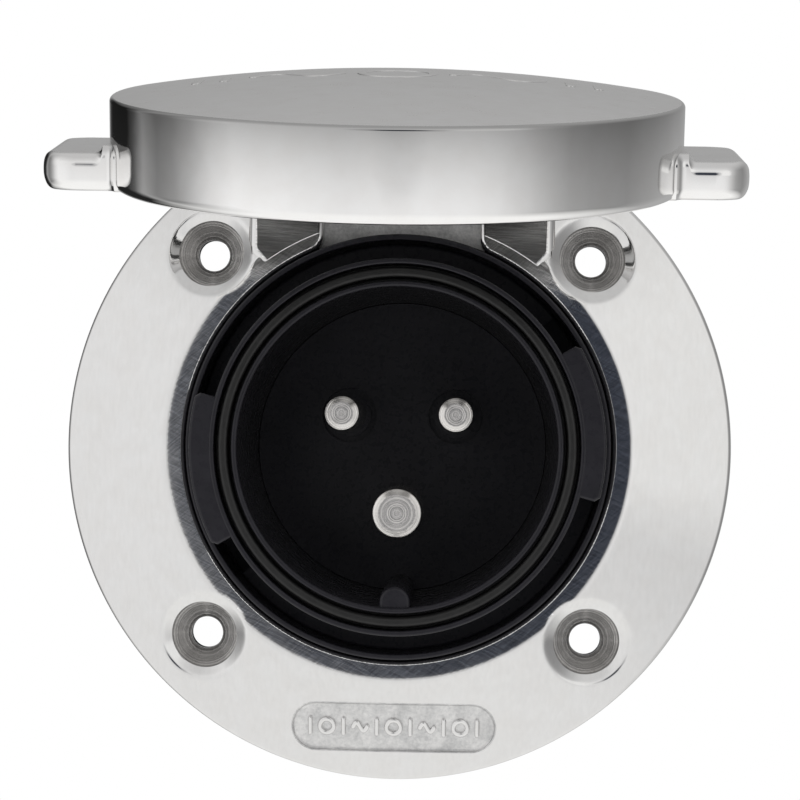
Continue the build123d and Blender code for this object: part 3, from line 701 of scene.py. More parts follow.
def moulded_plastic(name, colour, rough, grain, scale=1.2, tint=0.85, shine=0.5):
    """Injection-moulded plastic with a faint flow pattern and fine grain."""
    s = Shader(name)
    flow = s.noise(s.stretch(0.25, 0.08, 0.25), 1.0, 3.0)
    texture = s.cloud(scale, 3.0)
    fine = s.cloud(scale * 9, 2.0)
    darker = tuple(c * tint for c in colour[:3]) + (1.0,)
    shade = s.blend(s.spread(flow), darker, colour)
    normal = s.bump(fine, grain * 0.15, 1.0, s.bump(texture, grain))
    roughness = s.remap(texture, 0.3, 0.7, rough * 0.85, rough * 1.2)
    return s.finish(base_color=shade, roughness=roughness, normal=normal, specular_ior_level=shine)


def rubber(name, level, rough):
    """Moulded rubber, dull and slightly dusty."""
    return moulded_plastic(name, grey(level, 0.02), rough, 0.03, 2.0, 0.8, 0.45)


# Each layer of streaks has its (x, y, z) scales in millimetres, then a turn in degrees.
FINE_STREAKS = [(0.25, 2.5, 2.5)]
SLOPE_STREAKS = [(1.8, 1.8, 0.5)]
RING_STREAKS = [(0.25, 1.0, 3.5, (0.0, 25.0, 0.0)), (0.3, 1.0, 5.0, (0.0, -40.0, 0.0))]
BOSS_STREAKS = [(0.25, 1.0, 3.5, (0.0, 4.0, 0.0))]
STEEL = polished_steel("polished_steel", (0.0484, 0.0627), 0.06, 0.80, FINE_STREAKS, 0.0003)
# The lid's wall steel has painted shade, darker from its rim towards its domed face.
WALL_STEEL = polished_steel("lid_wall_steel", (0.045, 0.07), 0.06, 1.0, with_painted_shade=True)
DOME_STEEL = polished_steel("dome_steel", (0.264, 0.342), 0.04, 0.74, FINE_STREAKS, 0.0002)
SLOPE_STEEL = polished_steel("slope_steel", (0.088, 0.114), 0.08, 0.80, SLOPE_STREAKS, 0.001)
RING_STEEL = polished_steel("ring_steel", (0.1056, 0.1368), 0.04, 0.80, RING_STREAKS, 0.005, 0.30)
BOSS_STEEL = polished_steel("boss_steel", (0.1056, 0.1368), 0.04, 0.80, BOSS_STREAKS, 0.005, 0.30)
SINK_STEEL = machined_steel("machined_steel")
RECESS_STEEL = cast_steel("recess_steel", 0.42, 0.78, 0.50, 2.4, 0.05, 0.55)
GROUND_STEEL = cast_steel("ground_steel", 0.55, 0.85, 0.36, 1.9, 0.045)
INNER_STEEL = cast_steel("inner_steel", 0.50, 0.62, 0.30, 0.9, 0.03)
SOCKET_BLACK = moulded_plastic("socket_black", (0.026, 0.025, 0.031, 1.0), 0.28, 0.004, 0.8, 0.85, 0.26)
SEAL_BLACK = rubber("seal_black", 0.016, 0.36)
CARRIER_BLACK = moulded_plastic("carrier_black", (0.020, 0.019, 0.024, 1.0), 0.28, 0.006, 1.1, 0.75, 0.30)
SCREW_STEEL = plain_steel("screw_steel", 0.55, 0.24, ring_axis=1)
SPRING_STEEL = plain_steel("spring_steel", 0.45, 0.22)
BRASS = plain_steel("terminal_brass", 0.50, 0.28, 0.30, 0)
COVER_GREY = moulded_plastic("cover_grey", (0.030, 0.031, 0.034, 1.0), 0.45, 0.03, 1.6)
GLAND_GREY = moulded_plastic("gland_grey", (0.055, 0.058, 0.062, 1.0), 0.40, 0.02, 1.4)
BUSH_WHITE = moulded_plastic("bush_white", (0.55, 0.54, 0.50, 1.0), 0.45, 0.02, tint=0.75)
GASKET_BLACK = rubber("gasket_black", 0.022, 0.6)


# ---- flange

def face_outline():
    """(radius, depth) points of the flange's front, before the dishes, from the bore outwards."""
    corners = [
        (BORE_RADIUS - BORE_STOCK, RING_DEPTH),
        (RING_RADIUS, RING_DEPTH, RING_EDGE_ROUND),
        (FLANGE_RADIUS, EDGE_DEPTH, FLANGE_EDGE_ROUND),
        (FLANGE_RADIUS, 0.0),
    ]
    return soft_corners(corners, closed=False, step=4.0)[:-1]


FACE = np.array(face_outline())


def face_depth(x, z):
    """Depth of the flange's front at a place, before the dishes."""
    return float(np.interp(math.hypot(x, z), FACE[:, 0], FACE[:, 1]))


def dish_drop(x, z):
    """How far the face sinks round the nearest screw hole."""
    away = np.hypot(np.abs(x) - SCREW_OFFSET, np.abs(z) - SCREW_OFFSET)
    inside = np.clip(DISH_RADIUS - away, 0.0, DISH_RADIUS - SCREW_HEAD_RADIUS + DISH_PAST)
    fade = np.minimum(inside, DISH_FADE)
    return DISH_SLOPE * (fade * fade / (2 * DISH_FADE) + np.maximum(inside - DISH_FADE, 0.0))


def flange_blank():
    """Turned casting with a fine grid on its face, sunk into a shallow dish round each screw hole."""
    front = refine([tuple(p) for p in FACE], FACE_GRID)
    corners = [
        (FLANGE_RADIUS, EDGE_DEPTH),
        (FLANGE_RADIUS, 0.0, FLANGE_BACK_ROUND),
        (SEAT_RADIUS, 0.0, FLANGE_BACK_ROUND),
        (SEAT_RADIUS, SEAT_DEPTH),
        (BORE_RADIUS + BORE_RELIEF, SEAT_DEPTH),
        (BORE_RADIUS + BORE_RELIEF, SEAT_DEPTH - SEAT_STEP),
        (BORE_RADIUS - BORE_STOCK, SEAT_DEPTH - SEAT_STEP),
    ]
    back = soft_corners(corners, closed=False)[1:]
    obj = turned("flange_casting", front + back, SLOPE_STEEL, FACE_SEGMENTS)
    count = len(front) * FACE_SEGMENTS
    co = read(obj.data.vertices, "co", width=3)
    co[:count, 1] += dish_drop(co[:count, 0] / MM, co[:count, 2] / MM) * MM
    obj.data.vertices.foreach_set("co", co.ravel())
    obj.data.update()
    return obj


def hinge_boss():
    """Flat pad at the top of the flange that carries the hinge pin, creased along its inner edge."""
    reach = math.sqrt(BOSS_RADIUS**2 - BOSS_HALF_WIDTH**2)
    end = math.degrees(math.atan2(reach, BOSS_HALF_WIDTH)) + BOSS_BLEND
    inner = arc(BOSS_INNER_RADIUS - 4.0, 90 + BOSS_INNER_SPAN, 90 - BOSS_INNER_SPAN)
    corners = [inner[-1], (BOSS_HALF_WIDTH, BOSS_LOW, BOSS_CORNER), (BOSS_HALF_WIDTH, reach, BOSS_CORNER)]
    corners.append(arc(BOSS_RADIUS, end, end)[0])
    right = soft_corners(corners, closed=False)[1:]
    outer = arc(BOSS_RADIUS, end + 1, 179 - end)
    left = [(-x, z) for x, z in reversed(right)]
    front = RING_DEPTH - BOSS_PROUD
    outline = inner + right + outer + left
    boss = prism("hinge_boss", outline, front, BOSS_BACK, BOSS_STEEL, BOSS_ROUND, 0.0, 7)
    crease = [
        (0.0, CUT_NEAR),
        (BOSS_INNER_RADIUS + 0.7, CUT_NEAR),
        (BOSS_INNER_RADIUS + 0.15, front - 2 * HAIR),
        (BOSS_INNER_RADIUS, RING_DEPTH + HAIR),
        (BOSS_INNER_RADIUS - 0.1, SEAT_DEPTH),
        (0.0, SEAT_DEPTH),
    ]
    combine(boss, turned("cutter", crease, BOSS_STEEL, 360))
    flare = [
        (0.0, CUT_NEAR), (8.0, CUT_NEAR), (6.4, front - 2 * HAIR), (6.05, front + 0.18),
        (5.8, front + 0.7), (5.5, -5.5), (4.9, -1.0), (0.0, -1.0),
    ]
    for side in (-1, 1):
        combine(boss, turned("cutter", flare, BOSS_STEEL, 128, side * SCREW_OFFSET, SCREW_OFFSET))
    return boss


def bore_and_recess():
    """Cutter for the bore and the hinge recess, with rounded corners where they meet."""
    middle_x = RECESS_HALF_WIDTH + RECESS_CORNER_ROUND
    middle_z = math.sqrt((BORE_RADIUS + RECESS_CORNER_ROUND) ** 2 - middle_x**2)
    meeting = math.degrees(math.atan2(middle_z, middle_x))
    circle = arc(BORE_RADIUS, meeting, -180 - meeting, 1.0)
    right = arc(RECESS_CORNER_ROUND, 180 + meeting, 180.0, 6.0, middle_x, middle_z)
    left = [(-x, z) for x, z in right[1:]]
    top = [(-RECESS_HALF_WIDTH, RECESS_TOP), (RECESS_HALF_WIDTH, RECESS_TOP)]
    outline = circle + left + top + list(reversed(right[1:]))
    front = RING_DEPTH - BORE_CUT_LEAD
    return prism("cutter", outline, front, RECESS_SHELF_DEPTH, RECESS_STEEL, -BORE_EDGE_ROUND)


def panel_spine():
    """Points round a long round-ended shape, each as (x, z) of its middle line and a unit direction."""
    half = (PANEL_LENGTH - PANEL_WIDTH) / 2
    straight = [half * (2 * k / PANEL_STEPS - 1) for k in range(PANEL_STEPS)]
    around = [(x, (0.0, -1.0)) for x in straight]
    around += [(half, direction) for direction in arc(1.0, -90, 90, 9.0)]
    around += [(-x, (0.0, 1.0)) for x in straight[1:] + [half]]
    around += [(-half, direction) for direction in arc(1.0, 90, 270, 9.0)[1:-1]]
    return around


def panel_plug():
    """Cutter for the relief panel: it follows the flange's face, with a rounded rim and a flat floor."""
    radius = PANEL_WIDTH / 2
    levels = [(radius + 1.2, -3.0, False), (radius + 0.42, -0.25, True)]
    levels.append((radius + PANEL_EDGE_ROUND, 0.0, True))
    for k in range(1, 5):
        angle = math.pi / 2 * k / 4
        inset = PANEL_EDGE_ROUND * (1 - math.sin(angle))
        levels.append((radius + inset, PANEL_EDGE_ROUND * (1 - math.cos(angle)), True))
    levels.append((radius - 0.05, PANEL_SINK - 0.1, True))
    levels.append((radius - 0.18, PANEL_SINK, True))
    for k in range(7, -1, -1):
        levels.append((radius * k / 8 + 0.001, PANEL_SINK, True))
    around = panel_spine()
    points = []
    for reach, drop, follow in levels:
        for middle, (dx, dz) in around:
            x = middle + dx * reach
            z = PANEL_HEIGHT + dz * reach
            points.append((x, face_depth(x, z) + drop if follow else RING_DEPTH + drop, z))
    return new_object("cutter", points, skin(len(around), len(levels)), GROUND_STEEL)


def repaint_flange(mesh):
    """Gives the flat ring, the pads' edges and the cut bore their own finishes."""
    mesh.materials.append(RING_STEEL)
    names = [material.name if material else "" for material in mesh.materials]
    finishes = (RING_STEEL, SLOPE_STEEL, BOSS_STEEL, RECESS_STEEL)
    ring, slope, boss, recess = (names.index(finish.name) for finish in finishes)
    for face in mesh.polygons:
        x, y, z = face.center / MM
        radius = math.hypot(x, z)
        if face.material_index == slope and face.normal.y < -0.999 and radius < RING_RADIUS:
            face.material_index = ring
        elif face.material_index == boss and face.normal.y > -0.99:
            face.material_index = slope
        elif face.material_index == recess and y < RECESS_SHELF_DEPTH - HAIR:
            if face.normal.y < -0.15 or radius < BORE_RADIUS + 0.3:
                face.material_index = slope


def screw_hole():
    """(radius, depth) outline of a countersunk screw hole."""
    cone = SCREW_HEAD_RADIUS - SCREW_HOLE_RADIUS
    return [
        (0.0, -12.0),
        (SCREW_HEAD_RADIUS, -12.0),
        (SCREW_HEAD_RADIUS, SCREW_SINK_DEPTH),
        (SCREW_HOLE_RADIUS, SCREW_SINK_DEPTH + cone),
        (SCREW_HOLE_RADIUS, 1.0),
        (0.0, 1.0),
    ]


def hinge_hole():
    """Cutter along X for the hinge pin."""
    outline = [(0.0, -HINGE_HOLE_HALF), (HINGE_HOLE_RADIUS, -HINGE_HOLE_HALF)]
    outline += [(HINGE_HOLE_RADIUS, HINGE_HOLE_HALF), (0.0, HINGE_HOLE_HALF)]
    hole = turned("cutter", outline, SINK_STEEL, 64)
    hole.data.transform(Matrix.Translation(HINGE) @ Matrix.Rotation(math.radians(-90), 4, "Z"))
    return hole


def keep(obj, body, node=None, crease=32.0):
    """Finishes a piece: its shading, the body that it rides on and the node that it replaces."""
    polish(obj, crease)
    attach(obj, body)
    if node:
        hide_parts(node)


def make_flange():
    """Steel casting with its pads, bore, recess, screw holes and sunk relief panel."""
    body = flange_blank()
    for x, z in SCREW_PLACES:
        boss = prism("screw_boss", disc(SCREW_BOSS_RADIUS, x, z), SEAT_DEPTH - 0.5, -0.05, RECESS_STEEL)
        combine(body, boss, "UNION")
    combine(body, hinge_boss(), "UNION")
    combine(body, bore_and_recess())
    side = RECESS_HALF_WIDTH - POCKET_GAP
    top = RECESS_TOP - POCKET_GAP
    corners = ((-side, POCKET_LOW), (side, POCKET_LOW), (side, top), (-side, top))
    pocket = soft_corners([(x, z, POCKET_CORNER) for x, z in corners])
    combine(body, prism("cutter", pocket, -9.0, POCKET_DEPTH, RECESS_STEEL))
    for x, z in SCREW_PLACES:
        combine(body, turned("cutter", screw_hole(), SINK_STEEL, 128, x, z))
    combine(body, hinge_hole())
    combine(body, panel_plug())
    repaint_flange(body.data)
    keep(body, "inlet", "flange")


def sign_paths():
    """Centre lines of the generic signs on the relief panel: bars, rings and waves."""
    half = (SIGN_HEIGHT - SIGN_STROKE) / 2
    order = ("bar", "ring", "bar", "wave", "bar", "ring", "bar", "wave", "bar", "ring", "bar")
    paths = []
    for i, kind in enumerate(order):
        x = (i - (len(order) - 1) / 2) * SIGN_PITCH
        if kind == "bar":
            paths.append((bar(x, PANEL_HEIGHT, half, 6), False))
        elif kind == "ring":
            paths.append((disc(half, x, PANEL_HEIGHT, 15.0), True))
        else:
            paths.append((wave(x, PANEL_HEIGHT, 2 * half, SIGN_WAVE * half, 16), False))
    return paths


def panel_ground(x, z):
    """Depth of the relief panel's floor."""
    return face_depth(x, z) + PANEL_SINK


def make_signs():
    """Raised signs on the relief panel."""
    parts = [stroke(path, closed, SIGN_STROKE, SIGN_RISE, panel_ground) for path, closed in sign_paths()]
    keep(gather("panel_signs", parts, STEEL), "inlet", crease=50.0)


# ---- lid

def dome_depth(x, z):
    """Depth of the closed lid's domed face."""
    top = LID_EDGE_DEPTH - LID_DOME_HEIGHT
    return top + DOME_SPHERE - math.sqrt(DOME_SPHERE**2 - x * x - z * z)


def lid_shell():
    """Turned cup of the lid: domed face, straight wall and a pocket under the dome."""
    steps = math.ceil(LID_RADIUS / DOME_STEP)
    corners = [(DOME_STEP * k, dome_depth(DOME_STEP * k, 0)) for k in range(steps)]
    corners += [
        (LID_RADIUS, LID_EDGE_DEPTH, LID_FACE_ROUND),
        (LID_RADIUS, LID_RIM_DEPTH, LID_RIM_ROUND),
        (LID_INNER_RADIUS, LID_RIM_DEPTH, 1.0),
        (LID_INNER_RADIUS, LID_CEILING_DEPTH, 2.0),
        (LID_POCKET_RADIUS, LID_CEILING_DEPTH, 0.6),
        (LID_POCKET_RADIUS, dome_depth(LID_POCKET_RADIUS, 0) + LID_FACE_THICKNESS, 0.8),
    ]
    corners += [(r, dome_depth(r, 0) + LID_FACE_THICKNESS) for r in (16.0, 12.0, 8.0, 4.0, 0.0)]
    outline = refine(soft_corners(corners, closed=False, step=7.0), 1.6)
    return turned("lid_casting", outline, WALL_STEEL, 288)


def quarter(radius, past):
    """Half height of a circle at a distance from its middle."""
    return math.sqrt(max(0.0, radius**2 - past**2))


def root_flare(past_wall):
    """How much an ear swells where it grows out of the wall."""
    near = EAR_ROOT_FLARE - min(EAR_ROOT_FLARE, max(0.0, past_wall))
    return EAR_ROOT_FLARE - quarter(EAR_ROOT_FLARE, near)


def lid_ear(side):
    """Finger ear: rounded at its end and flared where it grows out of the wall."""
    middle = (EAR_NEAR_DEPTH + EAR_FAR_DEPTH) / 2
    half_thick = (EAR_NEAR_DEPTH - EAR_FAR_DEPTH) / 2
    wall = math.sqrt(LID_RADIUS**2 - EAR_HALF_WIDTH**2)
    stations = list(np.arange(EAR_START, EAR_REACH - EAR_CORNER, EAR_STATION_STEP))
    stations += [EAR_REACH - EAR_CORNER * (1 - math.sin(math.radians(a))) for a in range(0, 90, 5)]
    stations.append(EAR_REACH - 0.002)
    points = []
    for x in stations:
        width = EAR_HALF_WIDTH - EAR_CORNER + quarter(EAR_CORNER, max(0.0, x - EAR_REACH + EAR_CORNER))
        thickness = half_thick - EAR_ROUND + quarter(EAR_ROUND, max(0.0, x - EAR_REACH + EAR_ROUND))
        width += root_flare(x - wall)
        extra = root_flare(x - LID_RADIUS) / 2
        thickness += extra
        amount = min(EAR_ROUND, 0.98 * width, 0.98 * thickness)
        corners = ((-1, -1), (1, -1), (1, 1), (-1, 1))
        section = [(a * width, middle - extra + b * thickness, amount) for a, b in corners]
        points += [(side * x, y, z) for z, y in soft_corners(section, step=11.0)]
    faces = skin(len(points) // len(stations), len(stations))
    return new_object("ear", points, faces, WALL_STEEL)


def sideways(name, outline, half_width, side, amount):
    """Solid along X at a hinge arm, from an outline of (depth, height)."""
    obj = prism(name, outline, -half_width, half_width, STEEL, amount, amount)
    swap = Matrix(((0, 1, 0, 0), (1, 0, 0, 0), (0, 0, 1, 0), (0, 0, 0, 1)))
    obj.data.transform(Matrix.Translation(Vector((side * ARM_OFFSET * MM, 0, 0))) @ swap)
    obj.data.flip_normals()
    return obj


def lid_arm(side):
    """Arm from the lid's wall to its knuckle, and the hole for the bush."""
    corners = [
        (HINGE_DEPTH, 41.4),
        (-9.0, 41.4, 1.6),
        (ARM_FRONT, 35.5, 0.8),
        (ARM_FRONT, ARM_ROOT_HEIGHT),
        (-8.3, ARM_ROOT_HEIGHT),
        (HINGE_DEPTH, 35.8),
    ]
    arm = sideways("arm", soft_corners(corners, step=10.0), ARM_HALF_WIDTH, side, ARM_ROUND)
    knuckle = disc(KNUCKLE_RADIUS, HINGE_DEPTH, HINGE_HEIGHT, 6.0)
    combine(arm, sideways("knuckle", knuckle, ARM_HALF_WIDTH + HAIR, side, ARM_ROUND), "UNION")
    hole = disc(BUSH_HOLE_RADIUS, HINGE_DEPTH, HINGE_HEIGHT, 9.0)
    combine(arm, sideways("cutter", hole, 4.0, side, 0.0))
    return arm


def repaint_lid(mesh):
    """Gives the closed lid's underside and its domed face their own finishes."""
    mesh.materials.append(INNER_STEEL)
    mesh.materials.append(DOME_STEEL)
    finishes = (WALL_STEEL, INNER_STEEL, DOME_STEEL)
    wall, inner, dome = (list(mesh.materials).index(finish) for finish in finishes)
    for face in mesh.polygons:
        x, y, z = face.center / MM
        within = math.hypot(x, z) < LID_INNER_RADIUS + HAIR and y < LID_RIM_DEPTH - 0.9
        if within and face.normal.y > -0.3:
            face.material_index = inner
        elif face.material_index == wall and face.normal.y < -0.95:
            face.material_index = dome


def make_lid():
    """Steel lid with its ears and hinge arms, standing open."""
    lid = lid_shell()
    for side in (-1, 1):
        combine(lid, lid_ear(side), "UNION")
        combine(lid, lid_arm(side), "UNION")
    repaint_lid(lid.data)
    keep(opened(lid), "lid", "lid")


def make_emblem():
    """Generic sign on the lid's face: a ring between two waves and four bars."""
    paths = [(disc(EMBLEM_RING_RADIUS, 0.0, 0.0, 6.0), True)]
    for side in (-1, 1):
        x = side * EMBLEM_WAVE_OFFSET
        paths.append((wave(x, 0.0, EMBLEM_WAVE_LENGTH, EMBLEM_HALF_HEIGHT, 32), False))
        paths += [(bar(side * x, 0.0, EMBLEM_HALF_HEIGHT, 8), False) for x in EMBLEM_BARS]
    parts = [stroke(path, closed, EMBLEM_STROKE, EMBLEM_RISE, dome_depth) for path, closed in paths]
    keep(opened(gather("lid_emblem", parts, DOME_STEEL)), "lid", crease=50.0)


def make_lid_gasket():
    """Rubber ring under the lid, with a shallow groove in its face."""
    first, middle, last = LID_SEAL_GROOVE
    corners = [
        (LID_SEAL_INNER, LID_SEAL_TOP),
        (LID_SEAL_INNER, LID_SEAL_FACE, 0.9),
        (first, LID_SEAL_FACE, 0.4),
        (middle, LID_SEAL_FACE - LID_SEAL_GROOVE_DEPTH, 0.3),
        (last, LID_SEAL_FACE, 0.4),
        (LID_SEAL_OUTER, LID_SEAL_FACE, 0.9),
        (LID_SEAL_OUTER, LID_SEAL_TOP),
    ]
    gasket = opened(turned("lid_seal_ring", soft_corners(corners), SEAL_BLACK))
    keep(gasket, "lid", "lid_gasket")


# ---- socket

def sector_outline(inner, outer, start, end, corner):
    """Outline of part of a ring between two angles, with its outer corners cut off."""
    low = math.degrees(corner / outer)
    outside = arc(outer, start + low, end - low, 2.0)
    inside = arc(inner, end, start, 2.0)
    return outside + arc(outer - corner, end, end)[:1] + inside + arc(outer - corner, start, start)[:1]


def make_socket():
    """Moulded sleeve with its lip, deep channel, collar, bayonet lugs and key rib."""
    corners = [
        (MOUTH_RADIUS, MOUTH_DEPTH, 0.38),
        (SEAL_GROOVE_INNER, MOUTH_DEPTH, 0.25),
        (SEAL_GROOVE_INNER, SEAL_GROOVE_FLOOR),
        (SEAL_GROOVE_OUTER, SEAL_GROOVE_FLOOR),
        (SEAL_GROOVE_OUTER, MOUTH_DEPTH, 0.25),
        (LIP_RADIUS, MOUTH_DEPTH, 0.3),
        (LIP_RADIUS, 0.0, 0.4),
        (CHANNEL_RADIUS, 0.0, 0.4),
        (CHANNEL_RADIUS, SLEEVE_DEPTH, 0.25),
        (SLEEVE_RADIUS, SLEEVE_DEPTH, 0.3),
        (SLEEVE_RADIUS, COLLAR_DEPTH),
        (COLLAR_RADIUS, COLLAR_DEPTH, 0.4),
        (COLLAR_RADIUS, 0.0, 0.3),
        (BARREL_RADIUS, 0.0),
        (BARREL_RADIUS, BARREL_END, 0.5),
        (NECK_RADIUS, BARREL_END),
        (NECK_RADIUS, NECK_END, 0.3),
        (FLOOR_RADIUS, NECK_END),
        (FLOOR_RADIUS, FLOOR_DEPTH),
    ]
    body = turned("socket_moulding", soft_corners(corners), SOCKET_BLACK, 240)
    for start, end in LUG_SPANS:
        outline = sector_outline(LUG_INNER, LUG_OUTER, start, end, LUG_CORNER)
        lug = prism("lug", outline, LUG_FRONT, SEAL_GROOVE_FLOOR, SOCKET_BLACK, 0.4, 0.3)
        combine(body, lug, "UNION")
    for start, end in POCKET_SPANS:
        outline = sector_outline(POCKET_INNER, POCKET_OUTER, start, end, 0.3)
        combine(body, prism("cutter", outline, -1.0, 4.0, SOCKET_BLACK))
    for x, z in SCREW_PLACES:
        notch = disc(SCREW_BOSS_RADIUS + SCREW_BOSS_GAP, x, z)
        combine(body, prism("cutter", notch, SEAT_DEPTH, 1.0, SOCKET_BLACK))
    key = arc(KEY_RADIUS, 180, 0, 10.0, 0.0, KEY_TOP) + [(KEY_RADIUS, KEY_FOOT), (-KEY_RADIUS, KEY_FOOT)]
    combine(body, prism("key", key, KEY_FRONT, FLOOR_DEPTH - HAIR, SOCKET_BLACK, 0.5), "UNION")
    keep(body, "inlet", "socket_housing")


def make_socket_seal():
    """Round rubber bead on a foot that fills the groove in the lip."""
    foot = SEAL_GROOVE_FLOOR - SEAL_GAP
    inner = SEAL_GROOVE_INNER + SEAL_GAP
    outer = SEAL_GROOVE_OUTER - SEAL_GAP
    corners = [
        (SEAL_BEAD_INNER, SEAL_BEAD_FRONT, SEAL_BEAD_ROUND),
        (SEAL_BEAD_OUTER, SEAL_BEAD_FRONT, SEAL_BEAD_ROUND),
        (SEAL_BEAD_OUTER, SEAL_FOOT_FRONT),
        (outer, SEAL_FOOT_FRONT),
        (outer, foot),
        (inner, foot),
        (inner, SEAL_FOOT_FRONT),
        (SEAL_BEAD_INNER, SEAL_FOOT_FRONT),
    ]
    seal = turned("socket_seal_ring", soft_corners(corners), SEAL_BLACK)
    keep(seal, "inlet", "socket_seal")


def make_pin(name, node, radius, tip, angle):
    """Contact pin with a chamfered and turned tip, a shoulder in the carrier and a thinner tail."""
    x, z = arc(PIN_CIRCLE_RADIUS, angle, angle)[0]
    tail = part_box(node)[1].y / MM
    bevel_inset, bevel_drop = PIN_BEVEL
    corners = [
        (0.0, tip),
        (radius - PIN_TIP_INSET, tip, 0.2),
        (radius - bevel_inset, tip + bevel_drop, 0.2),
        (radius, tip + PIN_BEVEL_END, 0.3),
        (radius, FLOOR_DEPTH),
        (PIN_TAIL_RADIUS, FLOOR_DEPTH),
        (PIN_TAIL_RADIUS, tail, 0.3),
        (0.0, tail),
    ]
    finish = turned_nickel(name + "_nickel", x, z)
    pin = turned(name, soft_corners(corners, closed=False), finish, 96, x, z)
    keep(pin, "inlet", node)


def make_spring():
    """Hinge spring: a copy of its CAD node with its own finish, shown in that node's place."""
    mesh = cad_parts["lid_spring"].data.copy()
    mesh.materials.clear()
    mesh.materials.append(SPRING_STEEL)
    spring = bpy.data.objects.new("hinge_spring", mesh)
    bpy.context.scene.collection.objects.link(spring)
    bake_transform(spring)
    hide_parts("lid_spring")


CARRIED = {
    GASKET_BLACK: ("flange_gasket", "housing_gasket", "rear_cover_seal", "gland_washer", "gland_seal"),
    SCREW_STEEL: ("hinge_pin", "housing_screws", "carrier_screws", "terminal_screws", "rear_cover_screws"),
    BUSH_WHITE: ("hinge_bushes",),
    CARRIER_BLACK: ("contact_carrier",),
    BRASS: ("terminal_clamps",),
    COVER_GREY: ("rear_cover",),
    GLAND_GREY: ("gland_body", "gland_locknut", "gland_nut"),
}


def paint_carried():
    """Materials for the CAD nodes that are shown as they are."""
    for material, nodes in CARRIED.items():
        for node in nodes:
            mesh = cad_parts[node].data
            mesh.materials.clear()
            mesh.materials.append(material)


# ---- surroundings

def linear(level):
    """Linear brightness of a display grey between 0 and 255."""
    share = level / 255
    return ((share + 0.055) / 1.055) ** 2.4 if share > 0.04045 else share / 12.92


# Brightness round the object as (azimuth in degrees, display grey): 0 is the side it is seen from.
ROUND = (
    (-180, 150), (-168, 150), (-160, 60), (-155, 30), (-133, 30), (-127, 74), (-119, 138), (-108, 112),
    (-98, 130), (-88, 164), (-78, 200), (-67, 220), (-45, 218), (-20, 210), (10, 214), (32, 211),
    (43, 203), (53, 187), (64, 165), (74, 145), (85, 134), (105, 125), (125, 140), (145, 153), (180, 150),
)
STEEL_SHINE = 0.78

# The camera's own dark reflection: its direction, then half angles where it is full and where it ends
LENS_DIRECTION = (0.04, -0.999, 0.02)
LENS_CORE = (8.5, 13.0)
LENS_HALO = (12.0, 23.0)
HALO_SHARE = 0.45
LENS_DARK = (0.036, 0.042, 0.058, 1.0)
HALO_DARK = (0.10, 0.10, 0.11, 1.0)
RIGHT_PANEL = (0.98, 0.98, 0.97, 1.0)
CEILING = (0.62, 0.62, 0.62, 1.0)
GROUND = (0.93, 0.93, 0.92, 1.0)
WHITE = (1.0, 1.0, 1.0, 1.0)


def round_ramp(s, azimuth):
    """Brightness round the object at a given azimuth in radians."""
    share = s.remap(azimuth, -math.pi, math.pi, 0.0, 1.0)
    ramp = s.add("ValToRGB", {0: share})
    stops = ramp.color_ramp.elements
    while len(stops) > 1:
        stops.remove(stops[0])
    for i, (angle, level) in enumerate(ROUND):
        position = (angle + 180) / 360
        stop = stops[0] if i == 0 else stops.new(position)
        stop.position = position
        value = linear(level) / STEEL_SHINE
        stop.color = (value, value, value, 1.0)
    return ramp.outputs[0]


def lens_zone(s, facing, angles, most):
    """Share of the camera's dark reflection between two half angles in degrees."""
    full, none = (math.cos(math.radians(angle)) for angle in angles)
    return s.remap(facing, none, full, 0.0, most)


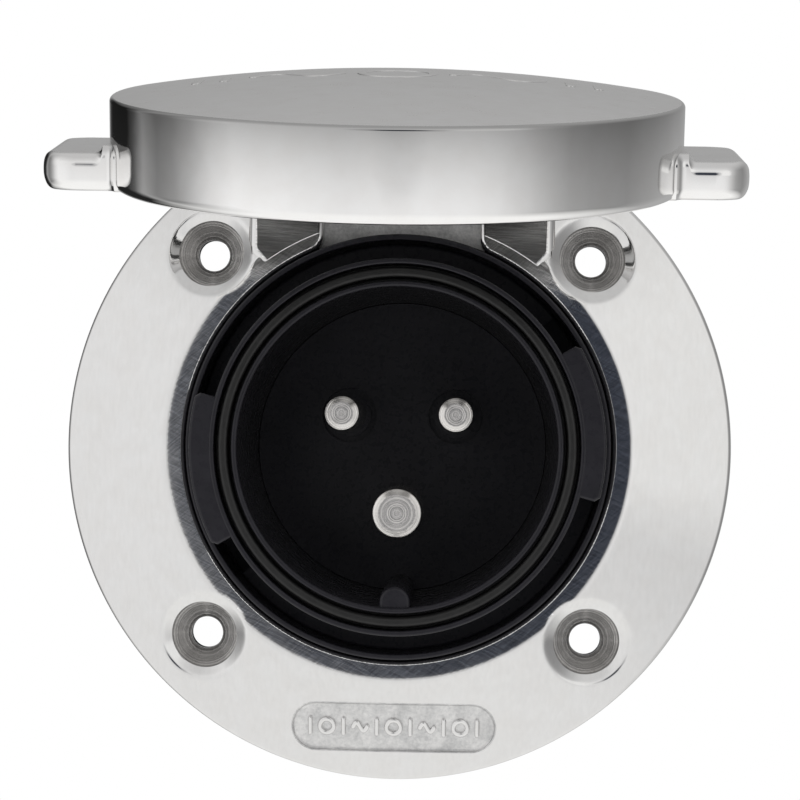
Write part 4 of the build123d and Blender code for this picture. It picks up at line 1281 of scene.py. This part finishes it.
def make_world():
    """Studio surroundings: white in front, grey at the sides, and black flags behind."""
    world = bpy.data.worlds.new("studio")
    bpy.context.scene.world = world
    world.use_nodes = True
    tree = world.node_tree
    tree.nodes.clear()
    s = Shader.__new__(Shader)
    s.tree = tree
    place = s.add("TexCoord").outputs["Generated"]
    x, y, z = s.add("SeparateXYZ", {0: place}).outputs[:3]
    sides = round_ramp(s, s.math("ARCTAN2", x, s.math("MULTIPLY", y, -1.0)))
    right = s.math("MULTIPLY", s.remap(z, -0.24, -0.10, 0.0, 1.0), s.remap(x, 0.05, 0.5, 0.0, 0.75))
    right = s.math("MULTIPLY", right, s.remap(y, -0.56, -0.70, 0.0, 1.0))
    light = s.blend(right, sides, RIGHT_PANEL)
    light = s.blend(s.remap(z, 0.35, 0.9, 0.0, 1.0), light, CEILING)
    light = s.blend(s.remap(z, -0.35, -0.8, 0.0, 1.0), light, GROUND)
    lens = s.add("VectorMath", {0: place, 1: LENS_DIRECTION}, operation="DOT_PRODUCT")
    facing = lens.outputs["Value"]
    light = s.blend(lens_zone(s, facing, LENS_HALO, HALO_SHARE), light, HALO_DARK)
    light = s.blend(lens_zone(s, facing, LENS_CORE, 1.0), light, LENS_DARK)
    glow = s.add("Background", {"Color": light}).outputs[0]
    white = s.add("Background", {"Color": WHITE}).outputs[0]
    seen = s.add("LightPath").outputs["Is Camera Ray"]
    mix = s.add("MixShader", {0: seen, 1: glow, 2: white})
    s.add("OutputWorld", {0: mix.outputs[0]})


def make_floor():
    """Pale floor far below, which the steel does not mirror."""
    corners = [(-1, -1), (1, -1), (1, 1), (-1, 1)]
    s = Shader("floor_white")
    s.finish(base_color=(0.82, 0.82, 0.81, 1.0), roughness=0.8)
    white = s.add("Emission", {"Color": WHITE}).outputs[0]
    seen = s.add("LightPath").outputs["Is Camera Ray"]
    mix = s.add("MixShader", {0: seen, 1: s.surface.outputs[0], 2: white})
    s.tree.links.new(mix.outputs[0], s.tree.nodes["Material Output"].inputs[0])
    points = [(x * FLOOR_HALF, y * FLOOR_HALF, FLOOR_LEVEL) for x, y in corners]
    floor = new_object("floor", points, [[0, 1, 2, 3]], s.material)
    floor.visible_glossy = False
    floor.visible_diffuse = False


def make_camera():
    """Camera at the height of the socket, leaning by one degree as in the view that it matches."""
    data = bpy.data.cameras.new("camera")
    data.sensor_width = SENSOR_WIDTH
    data.lens = FOCAL_PIXELS * SENSOR_WIDTH / PICTURE_PIXELS
    data.clip_start = 0.01
    camera = bpy.data.objects.new("camera", data)
    camera.rotation_mode = "QUATERNION"
    camera.location = Vector(CAMERA_PLACE) * MM
    lean = Quaternion((0, 0, 1), math.radians(CAMERA_LEAN))
    sight = Vector(CAMERA_TARGET) - Vector(CAMERA_PLACE)
    camera.rotation_quaternion = sight.to_track_quat("-Z", "Y") @ lean
    bpy.context.scene.collection.objects.link(camera)
    bpy.context.scene.camera = camera


make_flange()
make_signs()
make_lid()
make_emblem()
make_lid_gasket()
make_socket()
make_socket_seal()
make_pin("live_pin", "pin_live", POWER_PIN_RADIUS, POWER_PIN_TIP, 150)
make_pin("neutral_pin", "pin_neutral", POWER_PIN_RADIUS, POWER_PIN_TIP, 30)
make_pin("earth_pin", "pin_earth", EARTH_PIN_RADIUS, EARTH_PIN_TIP, 270)
make_spring()
paint_carried()
make_world()
make_floor()
make_camera()
bpy.context.scene.view_settings.view_transform = "Standard"
